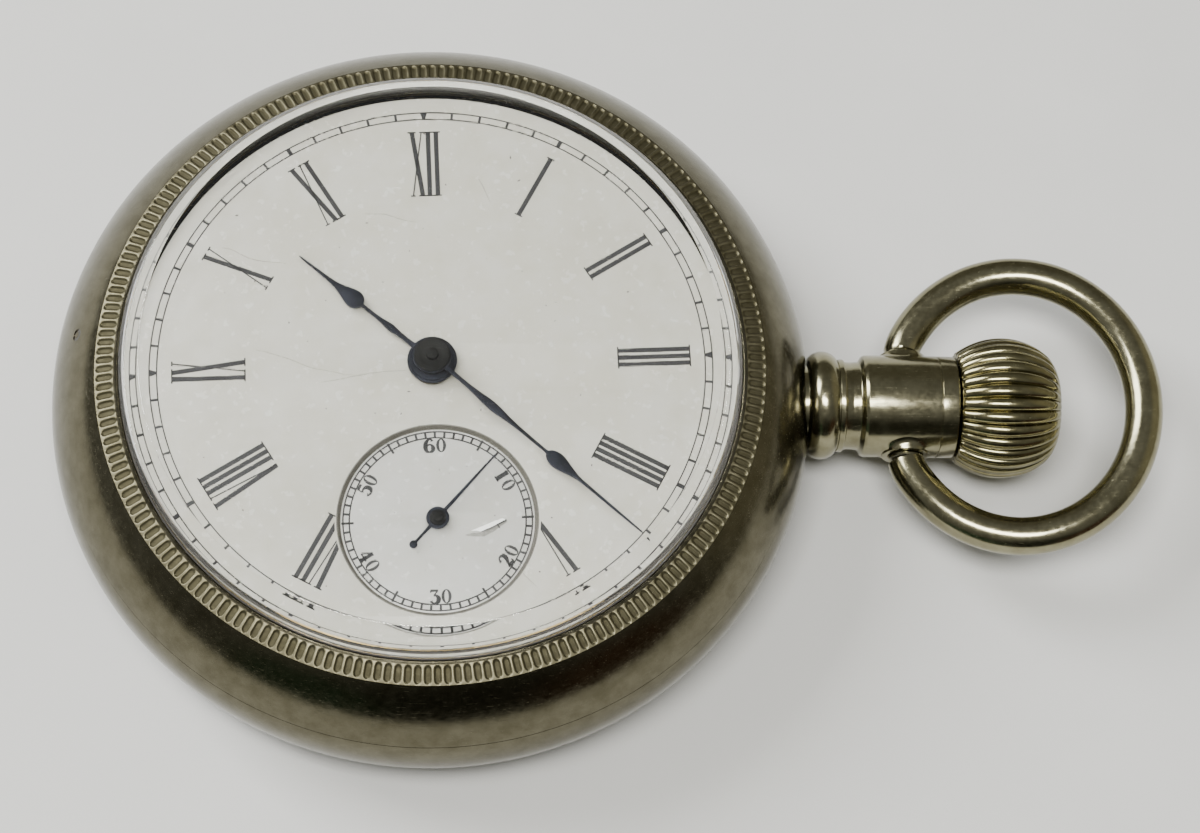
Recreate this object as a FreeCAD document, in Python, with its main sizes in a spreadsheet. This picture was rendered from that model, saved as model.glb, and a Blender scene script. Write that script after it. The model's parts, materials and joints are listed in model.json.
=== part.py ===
import FreeCAD, Part
import math
import os
import re

import Sketcher
from FreeCAD import Placement, Rotation, Vector

# Open face pocket watch, 18 size, with its pendant at 3 o'clock: case, dial, hands and full movement.
# Millimetres, +Z up out of the dial, +X out along the pendant, origin at the centre of the flat back face.
# Heights are measured from the back face. "Low" is the side towards the back cover.

SIZES = {
    "case": {
        "flank_centre": 22.16, "flank_round": 6.82, "shoulder_round": 10.83, "seam_radius": 28.37,
        "seam_low": 4.02, "seam_high": 9.62, "seam_gap": 0.04, "thread_gap": 0.07,
        "back_wall": 0.6, "back_neck": 26.2, "back_neck_low": 1.95, "back_neck_inner": 25.2,
        "bezel_neck": 25.6, "bezel_neck_high": 11.95, "neck_inner": 24.7, "band_inner": 26.9,
        "ledge_low": 8.75, "ledge_high": 9.63, "ledge_inner": 21.9, "movement_seat": 22.5,
        "seat_high": 11.2, "reed_outer": 24.96, "reed_outer_high": 13.99, "reed_inner": 23.54,
        "reed_inner_high": 14.41, "lip_inner": 23.16, "lip_low": 13.9, "groove_outer": 23.6,
        "groove_low": 13.15, "rest_inner": 22.6, "rest_low": 12.75,
    },
    "crystal": {
        "crystal_flange": 23.5, "crystal_wall": 23.04, "crystal_bend": 15.45, "crystal_edge": 21.46,
        "crystal_high": 17.0, "crystal_thick": 1.7, "crystal_inner_round": 0.4,
    },
    "pendant": {
        "pendant_axis": 6.39, "root_start": 27.1, "root_radius": 2.3, "neck_start": 28.43,
        "neck_end": 28.85, "neck_radius": 3.5, "collar_end": 31.0, "collar_radius": 3.7,
        "collar_round": 1.33, "waist_radius": 3.42, "waist_ring": 3.62, "waist_ring_start": 31.1,
        "waist_ring_end": 31.6, "socket_start": 32.98, "socket_radius": 3.95, "pendant_end": 40.22,
        "line_start": 38.77, "line_end": 38.93, "line_radius": 3.83, "stem_bore": 1.3,
        "sleeve_bore": 2.05, "sleeve_bore_start": 34.9,
        "boss_radius": 1.9, "boss_reach": 4.12, "bow_pivot": 36.35, "pivot_bore": 0.85,
    },
    "bow": {
        "bow_half_width": 10.78, "bow_half_length": 9.72, "bow_wire": 1.45, "bow_end": 5.66,
        "bow_pin": 0.8, "bow_pin_inner": 3.1, "bow_centre": 45.12, "bow_lift": 6.0,
    },
    "crown": {
        "crown_start": 40.3, "crown_end": 48.47, "crown_start_radius": 4.4, "crown_face_radius": 3.1,
        "crown_round": 5.7, "sleeve_radius": 2.0,
        "sleeve_start": 35.1, "flute_depth": 0.3, "flute_round": 0.34, "flutes": 30,
        "stem_radius": 0.8, "stem_start": 16.9, "stem_end": 47.0,
    },
    "plates": {
        "plate_radius": 22.43, "pillar_plate_low": 9.65, "pillar_plate_high": 11.15,
        "top_plate_low": 3.6, "top_plate_high": 4.8, "top_plate_radius": 21.6,
        "pillar_radius": 1.4, "pillar_circle": 19.8, "screw_shank": 0.6, "screw_head": 1.25,
        "screw_head_low": 3.22, "case_screw_circle": 21.15, "case_screw_head": 1.3,
        "case_screw_low": 8.1, "arbor_hole": 0.9, "pivot_radius": 0.25, "pivot_hole": 0.28,
        "shake": 0.1, "bearing_start": 19.4, "bearing_end": 21.4, "bearing_wide": 1.8,
        "running_gap": 0.05, "pillar_collar": 0.8, "pillar_waist": 0.3, "slot_wide": 0.22,
        "slot_deep": 0.15,
    },
    "dial": {
        "dial_radius": 22.25, "dial_low": 12.1, "dial_high": 12.95, "dial_hole": 1.6,
        "seconds_reach": 12.22, "seconds_radius": 7.3, "seconds_low": 12.05, "seconds_high": 12.6,
        "seconds_hole": 0.6, "foot_circle": 20.6, "foot_radius": 0.6, "foot_low": 10.1,
        "dial_screw_radius": 0.35, "dial_turn": 3.04,
    },
    "train": {
        "barrel_module": 0.24, "center_module": 0.175, "third_module": 0.16, "fourth_module": 0.14,
        "cannon_module": 0.25, "hour_module": 0.24, "winding_module": 0.25, "barrel_angle": 45.0,
        "barrel_low": 5.0, "barrel_high": 7.3, "barrel_wall": 8.9, "barrel_drum": 9.3,
        "barrel_tooth_high": 5.65, "barrel_floor": 5.35, "barrel_cover_low": 6.95,
        "barrel_core": 1.5, "barrel_pivot": 1.0, "spring_low": 5.45, "spring_high": 6.85,
        "spring_thick": 0.22,
        "center_wheel_low": 7.65, "center_wheel_high": 7.95, "center_arbor": 0.85,
        "third_wheel_low": 6.6, "third_wheel_high": 6.9, "fourth_wheel_low": 5.4,
        "fourth_wheel_high": 5.7, "escape_low": 6.3, "escape_high": 6.6, "escape_radius": 3.6,
        "escape_rim": 0.75, "escape_hub": 1.2, "arbor_radius": 0.45,
    },
    "winding": {
        "ratchet_low": 8.25, "ratchet_high": 8.85, "crown_wheel_low": 7.89, "pinion_start": 17.4,
        "pinion_end": 18.4, "face_tooth_low": 7.47, "face_tooth_inner": 3.25, "face_tooth_outer": 4.3,
        "stud_radius": 0.95, "stud_head": 1.6, "stud_head_low": 7.45, "click_reach": 8.0,
        "click_wide": 0.85, "click_tip": 0.12, "click_spring_reach": 5.5, "click_spring_wide": 0.3,
        "click_spring_tip": 0.08, "click_spring_post": 0.5, "lever_start": 16.8, "lever_end": 21.6,
        "lever_half": 0.8, "lever_thick": 0.4, "hook_start": 21.4, "hook_end": 22.4, "hook_high": 0.7,
    },
    "balance": {
        "balance_low": 2.3, "balance_high": 3.05, "balance_rim": 8.1, "balance_rim_inner": 7.4,
        "staff_radius": 0.45, "cock_low": 0.95, "cock_high": 1.6, "hairspring_low": 1.85,
        "hairspring_high": 2.05, "hairspring_outer": 3.5, "regulator_low": 0.72,
        "roller_low": 6.75, "roller_high": 7.0, "roller_radius": 1.5, "impulse_reach": 1.05,
        "fork_low": 6.25, "fork_high": 6.65, "pallet_reach": 3.8, "stone_long": 0.5, "stone_half": 0.14,
        "arm_wide": 1.1, "arm_thick": 0.35, "balance_hub": 1.1, "timing_shank": 0.14,
        "timing_shank_long": 0.6, "timing_head": 0.28, "timing_head_long": 0.45, "impulse_pin": 0.16,
        "collet_radius": 0.95, "hairspring_inner": 0.9, "hairspring_thick": 0.07,
        "cock_foot": 1.85, "cock_eye": 1.7, "cock_reach": 10.6, "cap_jewel": 0.75, "stud_pin": 0.25,
        "stud_offset": 0.45, "regulator_ring": 1.5, "regulator_eye": 0.8, "regulator_start": 1.3,
        "regulator_reach": 6.2, "regulator_wide": 0.35, "regulator_tip": 0.12,
    },
    "motion_work": {
        "minute_wheel_low": 11.2, "minute_wheel_high": 11.5, "hour_wheel_low": 11.66,
        "hour_wheel_high": 11.92, "cannon_inner": 0.55, "cannon_outer": 0.95, "hour_pipe": 1.35,
        "minute_collar": 1.0, "minute_web": 1.9, "minute_rim": 3.5, "minute_arm": 0.35,
    },
    "hands": {
        "hour_hand_low": 13.4, "hour_hand_high": 13.62, "hour_length": 13.1,
        "hour_hub": 1.85, "minute_hand_low": 14.5, "minute_hand_high": 14.72,
        "minute_length": 20.67, "minute_hub": 1.42, "post_radius": 0.36,
        "post_high": 15.05, "seconds_hand_low": 13.1, "seconds_hand_high": 13.25,
        "seconds_length": 6.55, "seconds_tail": 3.0, "seconds_hub": 0.85, "needle_start": 0.13,
        "needle_tip": 0.06, "tail_tip": 0.1, "tail_ball": 0.3,
    },
}

TEETH = {
    "barrel": 80, "center_pinion": 10, "center_wheel": 80, "third_pinion": 10, "third_wheel": 75,
    "fourth_pinion": 10, "fourth_wheel": 80, "escape_pinion": 8, "escape_wheel": 15,
    "cannon_pinion": 12, "minute_wheel": 36, "minute_pinion": 10, "hour_wheel": 40,
    "winding_pinion": 10, "face_teeth": 30, "crown_wheel": 35, "ratchet_wheel": 45,
}

# Dial angles, clockwise from 12: the hands stand at 10:22 and 7 seconds.
HAND_ANGLES = {"hour_hand": 312.2, "minute_hand": 134.3, "seconds_hand": 42.8}

# Half the width of each hand at distances from the arbor: the arm with its swelling, then the spade.
HAND_OUTLINES = {
    "hour_hand": {
        "arm": ((0, 0.21), (2.7, 0.16), (4.0, 0.28), (5.3, 0.14), (6.95, 0.12)),
        "spade": ((6.85, 0.12), (7.1, 0.5), (7.62, 0.7), (8.5, 0.48), (9.3, 0.25), (10.1, 0.14)),
    },
    "minute_hand": {
        "arm": ((0, 0.2), (3.6, 0.14), (6.0, 0.33), (8.4, 0.13), (11.5, 0.11)),
        "spade": ((11.4, 0.11), (11.7, 0.4), (12.4, 0.58), (13.3, 0.4), (14.0, 0.2), (14.6, 0.12)),
    },
}

PILLAR_ANGLES = (100, 170, 235, 325)
CASE_SCREW_ANGLES = (62, 205)
FOOT_ANGLES = (40, 160, 280)
MINUTE_WHEEL_ANGLE = 150
ESCAPE_ANGLE = 10
PALLET_ANGLE = 60
BALANCE_ANGLE = 50
PALLET_SPAN = 60
CLICK_ANGLE = 118
BEAK_ANGLE = 84
CLICK_SPRING_ANGLE = 150
SETTING_LEVER_ANGLE = 78
HOOK_HALF_ANGLE = 2
BALANCE_ARM_ANGLE = 35
COCK_ANGLE = -95
STUD_ANGLE = COCK_ANGLE + 12
TIMING_SCREWS = 16
HAIRSPRING_TURNS = 9
MAINSPRING_TURNS = 12

# The share of a pitch that a tooth fills at its root and at its tip, for wheels and for pinion leaves.
TOOTH = (0.55, 0.22)
LEAF = (0.5, 0.2)
THROUGH = (-1, 40)

UP = Vector(0, 0, 1)
ALONG = Vector(1, 0, 0)

doc = FreeCAD.newDocument("PocketWatch")
sheet = doc.addObject("Spreadsheet::Sheet", "Sizes")
nodes = []


def fill_sheet():
    """Put every driving dimension in a cell of its own, with its name as the alias."""
    row = 1
    for group, cells in SIZES.items():
        sheet.set(f"A{row}", group)
        row += 1
        for alias, number in cells.items():
            sheet.set(f"A{row}", alias)
            sheet.set(f"B{row}", str(number))
            sheet.setAlias(f"B{row}", alias)
            row += 1
    doc.recompute()


def size(text):
    """The value of a sum such as 'dial_high - 0.2', read from the sheet."""
    total = 0.0
    sign = 1
    for word in text.split():
        if word in ("+", "-"):
            sign = 1 if word == "+" else -1
        else:
            total += sign * (sheet.get(word) if word[0].isalpha() else float(word))
    return total


def linked(text):
    """The same sum as a FreeCAD expression."""
    return re.sub(r"[a-z][a-z_]*", r"Sizes.\g<0>", text)


def bind(thing, name, text):
    thing.setExpression(name, linked(text))


def bind_place(thing, at):
    for axis, text in zip("xyz", at):
        bind(thing, f"Placement.Base.{axis}", text)


def keep(thing, node):
    """Give a finished sub-part its label and list it for export."""
    thing.Label = node
    nodes.append(thing)
    return thing


# ---------------------------------------------------------------- parametric building blocks

def crosswise(name, radius, start, end, direction, at):
    """A cylinder lying along the given direction, from start to end along it."""
    thing = doc.addObject("Part::Cylinder", name)
    thing.Placement = Placement(Vector(), Rotation(UP, direction))
    bind(thing, "Radius", radius)
    bind(thing, "Height", f"({end}) - ({start})")
    bind_place(thing, at)
    return thing


def joined(name, *things):
    fusion = doc.addObject("Part::MultiFuse", name)
    fusion.Shapes = list(things)
    return fusion


def cut(name, base, tool):
    result = doc.addObject("Part::Cut", name)
    result.Base = base
    result.Tool = tool
    return result


def arc_middle(start, end, radius, turn):
    """The middle of an arc that turns left (turn 1) or right (turn -1) from start to end."""
    chord = end - start
    half = chord.Length / 2
    rise = radius - math.sqrt(radius * radius - half * half)
    across = Vector(chord.y, -chord.x, 0).normalize() * (rise * turn)
    return (start + end) * 0.5 + across


def fix_corner(sketch, edge, vertex, corner):
    """Tie a corner to the sheet, or to an axis where its coordinate is zero."""
    for kind, text, axis in zip(("DistanceX", "DistanceY"), corner, (-2, -1)):
        if text == "0":
            sketch.addConstraint(Sketcher.Constraint("PointOnObject", edge, vertex, axis))
            continue
        index = sketch.addConstraint(Sketcher.Constraint(kind, -1, 1, edge, vertex, size(text)))
        sketch.setExpression(f"Constraints[{index}]", linked(text))


def draw_outline(sketch, outline, rounds):
    """A closed outline of lines, with an arc wherever rounds names the edge after a corner."""
    corners = [Vector(size(a), size(b), 0) for a, b in outline]
    ends = []
    for i, start in enumerate(corners):
        end = corners[(i + 1) % len(corners)]
        if i in rounds:
            radius, turn = rounds[i]
            sketch.addGeometry(Part.Arc(start, arc_middle(start, end, size(radius), turn), end))
            ends.append((1, 2) if turn > 0 else (2, 1))
        else:
            sketch.addGeometry(Part.LineSegment(start, end))
            ends.append((1, 2))
    for i, corner in enumerate(outline):
        before = i - 1 if i else len(outline) - 1
        sketch.addConstraint(Sketcher.Constraint("Coincident", before, ends[before][1], i, ends[i][0]))
        fix_corner(sketch, i, ends[i][0], corner)
    for i, (radius, _) in rounds.items():
        index = sketch.addConstraint(Sketcher.Constraint("Radius", i, size(radius)))
        sketch.setExpression(f"Constraints[{index}]", linked(radius))


def turned(name, outline, rounds=None, about="V_Axis", at=("0", "0", "0")):
    """A body turned on a lathe: the outline is (radius, height), or (length, radius) about H_Axis."""
    body = doc.addObject("PartDesign::Body", name + "_body")
    sketch = body.newObject("Sketcher::SketchObject", name + "_outline")
    plane = next(part for part in body.Origin.OriginFeatures if part.Role == "XZ_Plane")
    sketch.AttachmentSupport = [(plane, "")]
    sketch.MapMode = "FlatFace"
    draw_outline(sketch, outline, rounds or {})
    turning = body.newObject("PartDesign::Revolution", name + "_turning")
    turning.Profile = sketch
    turning.ReferenceAxis = (sketch, [about])
    turning.Angle = 360
    body.Tip = turning
    bind_place(body, at)
    return body


# ---------------------------------------------------------------- shapes made from the sheet's sizes

def polar(reach, angle, centre=Vector()):
    turn = math.radians(angle)
    return centre + Vector(reach * math.cos(turn), reach * math.sin(turn), 0)


def disc(radius, low, high, centre=Vector()):
    return Part.makeCylinder(radius, high - low, Vector(centre.x, centre.y, low))


def bored(shape, radius, centre=Vector()):
    """The shape with a hole right through it."""
    return shape.cut(disc(radius, *THROUGH, centre))


def ring(outer, inner, low, high, centre=Vector()):
    return bored(disc(outer, low, high, centre), inner, centre)


def slab(points, low, high):
    """A flat piece with straight edges."""
    corners = [Vector(p.x, p.y, low) for p in [*points, points[0]]]
    return Part.Face(Part.makePolygon(corners)).extrude(Vector(0, 0, high - low))


def strip(start, end, wide_start, wide_end, low, high):
    """A tapered bar from start to end with round ends."""
    along = (end - start).normalize()
    across = Vector(-along.y, along.x, 0)
    corners = [start + across * wide_start, start - across * wide_start,
               end - across * wide_end, end + across * wide_end]
    ends = [disc(wide_start, low, high, start), disc(wide_end, low, high, end)]
    return slab(corners, low, high).multiFuse(ends).removeSplitter()


def toothed(teeth, module, low, high, shares=TOOTH):
    """A gear blank with straight-sided teeth, one of them pointing along +X."""
    pitch = teeth * module / 2
    outer = pitch + 0.75 * module
    inner = pitch - 1.0 * module
    step = 360.0 / teeth
    root, tip = (share * step / 2 for share in shares)
    points = []
    for i in range(teeth):
        middle = i * step
        points += [polar(inner, middle - root), polar(outer, middle - tip),
                   polar(outer, middle + tip), polar(inner, middle + root)]
    return slab(points, low, high)


def crossings(hub, rim, arms, wide, low, high):
    """The windows between a wheel's arms."""
    corners = [Vector(0, -wide, 0), Vector(rim + 1, -wide, 0), Vector(rim + 1, wide, 0), Vector(0, wide, 0)]
    spokes = [slab(corners, low - 1, high + 1) for _ in range(arms)]
    for i, spoke in enumerate(spokes):
        spoke.rotate(Vector(), UP, i * 360.0 / arms)
    return ring(rim, hub, low - 1, high + 1).cut(spokes[0].multiFuse(spokes[1:]))


def crossed_wheel(teeth, module, low, high, bore, arms=5):
    """A thin train wheel: toothed rim, arms and hub."""
    rim = teeth * module / 2 - 4.2 * module
    blank = toothed(teeth, module, low, high)
    return bored(blank.cut(crossings(bore + 0.9, rim, arms, 0.3, low, high)), bore)


def spiral(inner, outer, turns, thick, low, high):
    """A flat coil spring, drawn as half-circles about two centres a quarter of the pitch off the axis."""
    pitch = (outer - inner) / turns
    sides = []
    for offset in (-thick / 2, thick / 2):
        edges = []
        for i in range(2 * turns):
            centre = Vector(pitch / 4 if i % 2 else -pitch / 4, 0, low)
            reach = inner + i * pitch / 2 + offset
            start, middle, end = (centre + polar(reach, 180 * i + step) for step in (0, 90, 180))
            edges.append(Part.Arc(start, middle, end).toShape())
            first = start if i == 0 else first
        sides.append((edges, first, end))
    caps = [Part.makeLine(sides[0][k], sides[1][k]) for k in (1, 2)]
    wire = Part.Wire(Part.__sortEdges__(sides[0][0] + sides[1][0] + caps))
    return Part.Face(wire).extrude(Vector(0, 0, high - low))


def made(node, shape, centre=Vector(), turn=0):
    """A sub-part whose shape is worked out here, then placed on its arbor."""
    thing = doc.addObject("Part::Feature", node + "_shape")
    thing.Shape = shape
    place = Placement(Vector(centre.x, centre.y, 0), Rotation(UP, turn))
    thing.Placement = place.multiply(shape.Placement)
    return keep(thing, node)


# ---------------------------------------------------------------- where the arbors stand

def meet(first, first_reach, second, second_reach):
    """The point at the given distances from two arbors, on the left going from first to second."""
    line = second - first
    along = (line.Length ** 2 + first_reach ** 2 - second_reach ** 2) / (2 * line.Length)
    side = math.sqrt(first_reach ** 2 - along ** 2)
    unit = line * (1 / line.Length)
    return first + unit * along + Vector(unit.y, -unit.x, 0) * side


def centres_apart(one, other, module):
    return (TEETH[one] + TEETH[other]) * size(module) / 2


def arbor_places():
    """Every arbor's place in plan, worked out from tooth counts and modules."""
    center = Vector()
    fourth = polar(size("seconds_reach"), size("dial_turn") - 90)
    third = meet(center, centres_apart("center_wheel", "third_pinion", "center_module"),
                 fourth, centres_apart("third_wheel", "fourth_pinion", "third_module"))
    escape = polar(centres_apart("fourth_wheel", "escape_pinion", "fourth_module"), ESCAPE_ANGLE, fourth)
    tangent = math.cos(math.radians(PALLET_SPAN / 2))
    pallet = polar(size("escape_radius") / tangent, PALLET_ANGLE, escape)
    balance = polar(size("pallet_reach"), BALANCE_ANGLE, pallet)
    barrel = polar(centres_apart("barrel", "center_pinion", "barrel_module"), size("barrel_angle"))
    winding = centres_apart("crown_wheel", "ratchet_wheel", "winding_module")
    crown_wheel = Vector(barrel.x + math.sqrt(winding ** 2 - barrel.y ** 2), 0, 0)
    minute = polar(centres_apart("cannon_pinion", "minute_wheel", "cannon_module"), MINUTE_WHEEL_ANGLE)
    return {"center": center, "third": third, "fourth": fourth, "escape": escape, "pallet": pallet,
            "balance": balance, "barrel": barrel, "crown_wheel": crown_wheel, "minute": minute}


def heading(start, end):
    return math.degrees(math.atan2(end.y - start.y, end.x - start.x))


def gap_facing(teeth, angle):
    """The turn that brings a gap between teeth to face the given direction."""
    return angle + 180.0 / teeth


# ---------------------------------------------------------------- case

def case_center():
    """The centre band: threaded necks above and below, and the ledge that the movement sits on."""
    outline = [
        ("seam_radius", "seam_low"), ("seam_radius", "seam_high"), ("bezel_neck", "seam_high"),
        ("bezel_neck", "bezel_neck_high"), ("neck_inner", "bezel_neck_high"),
        ("neck_inner", "seat_high"), ("movement_seat", "seat_high"), ("movement_seat", "ledge_high"),
        ("ledge_inner", "ledge_high"), ("ledge_inner", "ledge_low"), ("band_inner", "ledge_low"),
        ("band_inner", "seam_low + 0.85"), ("back_neck_inner", "seam_low + 0.85"),
        ("back_neck_inner", "back_neck_low"), ("back_neck", "back_neck_low"), ("back_neck", "seam_low"),
    ]
    band = turned("case_center", outline, {0: ("flank_round", 1)})
    tube_hole = crosswise("root_hole", "root_radius + 0.02", "band_inner - 1", "seam_radius + 2",
                          ALONG, ("band_inner - 1", "0", "pendant_axis"))
    spot_face = crosswise("spot_face", "neck_radius + 0.03", "neck_start", "neck_end + 2",
                          ALONG, ("neck_start", "0", "pendant_axis"))
    keep(cut("case_center_cut", band, joined("pendant_seat", tube_hole, spot_face)), "case_center")


def bezel():
    """The screw bezel: smooth shoulder, band for the reeding, lip and crystal groove."""
    outline = [
        ("seam_radius", "seam_high + seam_gap"), ("reed_outer", "reed_outer_high"),
        ("reed_inner", "reed_inner_high"), ("lip_inner + 0.12", "reed_inner_high"),
        ("lip_inner", "reed_inner_high - 0.15"), ("lip_inner", "lip_low"),
        ("groove_outer", "lip_low - 0.1"), ("groove_outer", "groove_low"),
        ("rest_inner", "groove_low"), ("rest_inner", "rest_low"), ("neck_inner - 0.4", "rest_low"),
        ("neck_inner - 0.4", "bezel_neck_high + 0.15"),
        ("bezel_neck + thread_gap", "bezel_neck_high + 0.15"),
        ("bezel_neck + thread_gap", "seam_high + seam_gap"),
    ]
    keep(turned("bezel", outline, {0: ("shoulder_round", 1)}), "bezel")


def crystal():
    """The thick glass: flange in the bezel's groove, steep wall, wide bevel and flat top."""
    outline = [
        ("crystal_flange", "groove_low + 0.05"), ("crystal_flange", "lip_low - 0.2"),
        ("crystal_wall", "lip_low - 0.05"), ("crystal_wall", "crystal_bend"),
        ("crystal_edge", "crystal_high"), ("0", "crystal_high"), ("0", "crystal_high - crystal_thick"),
        ("rest_inner - crystal_inner_round", "crystal_high - crystal_thick"),
        ("rest_inner", "crystal_high - crystal_thick - crystal_inner_round"),
        ("rest_inner", "groove_low + 0.05"),
    ]
    keep(turned("crystal", outline, {7: ("crystal_inner_round", -1)}), "crystal")


def back_cover():
    """The screw back: flat underneath, round flank, and a skirt over the band's lower neck."""
    outline = [
        ("0", "0"), ("flank_centre", "0"), ("seam_radius", "seam_low - seam_gap"),
        ("back_neck + thread_gap", "seam_low - seam_gap"),
        ("back_neck + thread_gap", "back_neck_low - 0.15"),
        ("back_neck_inner", "back_neck_low - 0.15"), ("flank_centre", "back_wall"), ("0", "back_wall"),
    ]
    rounds = {1: ("flank_round", 1), 5: ("flank_round - back_wall", -1)}
    keep(turned("back_cover", outline, rounds), "back_cover")


def pendant():
    """The pendant: root in the band, round collar, ringed waist and the bow's two sockets."""
    outline = [
        ("root_start", "stem_bore"), ("sleeve_bore_start", "stem_bore"),
        ("sleeve_bore_start", "sleeve_bore"), ("pendant_end", "sleeve_bore"),
        ("pendant_end", "socket_radius - 0.15"), ("pendant_end - 0.15", "socket_radius"),
        ("line_end", "socket_radius"), ("line_end", "line_radius"), ("line_start", "line_radius"),
        ("line_start", "socket_radius"), ("socket_start", "socket_radius"),
        ("socket_start", "waist_radius"), ("waist_ring_end", "waist_radius"),
        ("waist_ring_end", "waist_ring"), ("waist_ring_start", "waist_ring"),
        ("waist_ring_start", "waist_radius"), ("collar_end", "waist_radius"),
        ("collar_end", "collar_radius"), ("neck_end", "collar_radius"), ("neck_end", "neck_radius - 0.4"),
        ("neck_start", "neck_radius - 0.4"), ("neck_start", "root_radius"), ("root_start", "root_radius"),
    ]
    axis = ("0", "0", "pendant_axis")
    turning = turned("pendant", outline, {17: ("collar_round", 1)}, "H_Axis", axis)
    flange = crosswise("pendant_flange", "neck_radius", "neck_start + 0.05", "neck_end - 0.1",
                       ALONG, ("neck_start + 0.05", "0", "pendant_axis"))
    flange_bore = crosswise("flange_bore", "stem_bore", "neck_start", "neck_end",
                            ALONG, ("neck_start", "0", "pendant_axis"))
    bosses = []
    holes = []
    for side, name in ((1, "left"), (-1, "right")):
        start = "sleeve_bore + 0.9" if side > 0 else "0 - sleeve_bore - 0.9"
        place = ("bow_pivot", start, "pendant_axis")
        outward = Vector(0, side, 0)
        bosses.append(crosswise(name + "_boss", "boss_radius", "sleeve_bore + 0.9", "boss_reach",
                                outward, place))
        holes.append(crosswise(name + "_bow_hole", "pivot_bore", "0", "boss_reach",
                               outward, ("bow_pivot", "0", "pendant_axis")))
    flange_ring = cut("bored_flange", flange, flange_bore)
    solid = joined("pendant_solid", turning, flange_ring, *bosses)
    keep(cut("pendant_drilled", solid, joined("bow_holes", *holes)), "pendant")


def bow():
    """The bow: round wire in an open oval, its ends turned in to pins in the pendant's sockets."""
    half_width = size("bow_half_width")
    wire = size("bow_wire")
    end_y = size("bow_end")
    pivot = Vector(size("bow_pivot"), 0, size("pendant_axis"))
    centre = Vector(size("bow_centre"), 0, pivot.z)
    oval = Part.Ellipse(centre + Vector(0, half_width, 0), centre + Vector(size("bow_half_length"), 0, 0),
                        centre)
    past = math.acos(end_y / half_width)
    spine = Part.ArcOfEllipse(oval, -past, math.pi + past).toShape()
    profile = Part.Circle(spine.valueAt(spine.FirstParameter), spine.tangentAt(spine.FirstParameter), wire)
    hoop = Part.Wire(spine).makePipeShell([Part.Wire(profile.toShape())], True, False)
    pieces = []
    for end, side in ((spine.FirstParameter, 1), (spine.LastParameter, -1)):
        pieces.append(Part.makeSphere(wire - 0.02, spine.valueAt(end)))
        pin_end = Vector(pivot.x, side * end_y, pivot.z)
        pieces.append(Part.makeCylinder(size("bow_pin"), end_y - size("bow_pin_inner"), pin_end,
                                        Vector(0, -side, 0)))
    shape = hoop.multiFuse(pieces).removeSplitter()
    shape.rotate(pivot, Vector(0, 1, 0), -size("bow_lift"))
    made("bow", shape)


def crown():
    """The winding crown: onion shape with rounded flutes, and the sleeve that runs in the pendant."""
    outline = [
        ("crown_start", "stem_radius"), ("crown_end", "stem_radius"), ("crown_end", "crown_face_radius"),
        ("crown_start + 0.25", "crown_start_radius"), ("crown_start", "crown_start_radius - 0.25"),
    ]
    head = turned("crown", outline, {2: ("crown_round", 1)}, "H_Axis", ("0", "0", "pendant_axis"))
    sleeve = turned("crown_sleeve", [
        ("sleeve_start", "stem_radius"), ("crown_start", "stem_radius"),
        ("crown_start", "sleeve_radius"), ("sleeve_start", "sleeve_radius")],
        None, "H_Axis", ("0", "0", "pendant_axis"))
    face = Vector(size("crown_end + 0.3"), size("crown_face_radius - 0.22"), 0)
    back = Vector(size("crown_start + 0.05"), size("crown_start_radius - 0.3"), 0)
    middle = arc_middle(face, back, size("crown_round"), 1)
    count = int(size("flutes"))
    flutes = [flute(face, back, middle, 360.0 * i / count) for i in range(count)]
    cutter = doc.addObject("Part::Feature", "crown_flutes")
    cutter.Shape = Part.Compound(flutes)
    keep(joined("crown_whole", cut("fluted_head", head, cutter), sleeve), "crown")


def flute(start, end, middle, turn):
    """One round-bottomed groove that follows the crown's outline."""
    edge = Part.Arc(start, middle, end).toShape()
    centre = edge.Curve.Center
    lift = (start - centre).normalize() * (size("flute_round") - size("flute_depth"))
    across = edge.tangentAt(edge.FirstParameter)
    circle = Part.Circle(start + lift, across, size("flute_round"))
    sweep = math.degrees(edge.LastParameter - edge.FirstParameter)
    groove = Part.Face(Part.Wire(circle.toShape())).revolve(centre, edge.Curve.Axis, sweep)
    groove.rotate(Vector(), ALONG, turn)
    groove.translate(Vector(0, 0, size("pendant_axis")))
    return groove


def stem():
    """The winding stem, from the crown through the pendant to the winding pinion."""
    axis = ("stem_start", "0", "pendant_axis")
    keep(crosswise("stem_rod", "stem_radius", "stem_start", "stem_end", ALONG, axis), "stem")


# ---------------------------------------------------------------- plates

def jewel_places(places):
    """The arbors that run in jewels, in both plates."""
    return [places[name] for name in ("third", "fourth", "escape", "pallet")]


def pillar_places():
    return [polar(size("pillar_circle"), angle) for angle in PILLAR_ANGLES]


def case_screw_places():
    return [polar(size("case_screw_circle"), angle) for angle in CASE_SCREW_ANGLES]


def group(node, shapes):
    """Identical small pieces as separate solids in one sub-part."""
    return made(node, Part.Compound(shapes))


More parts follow.
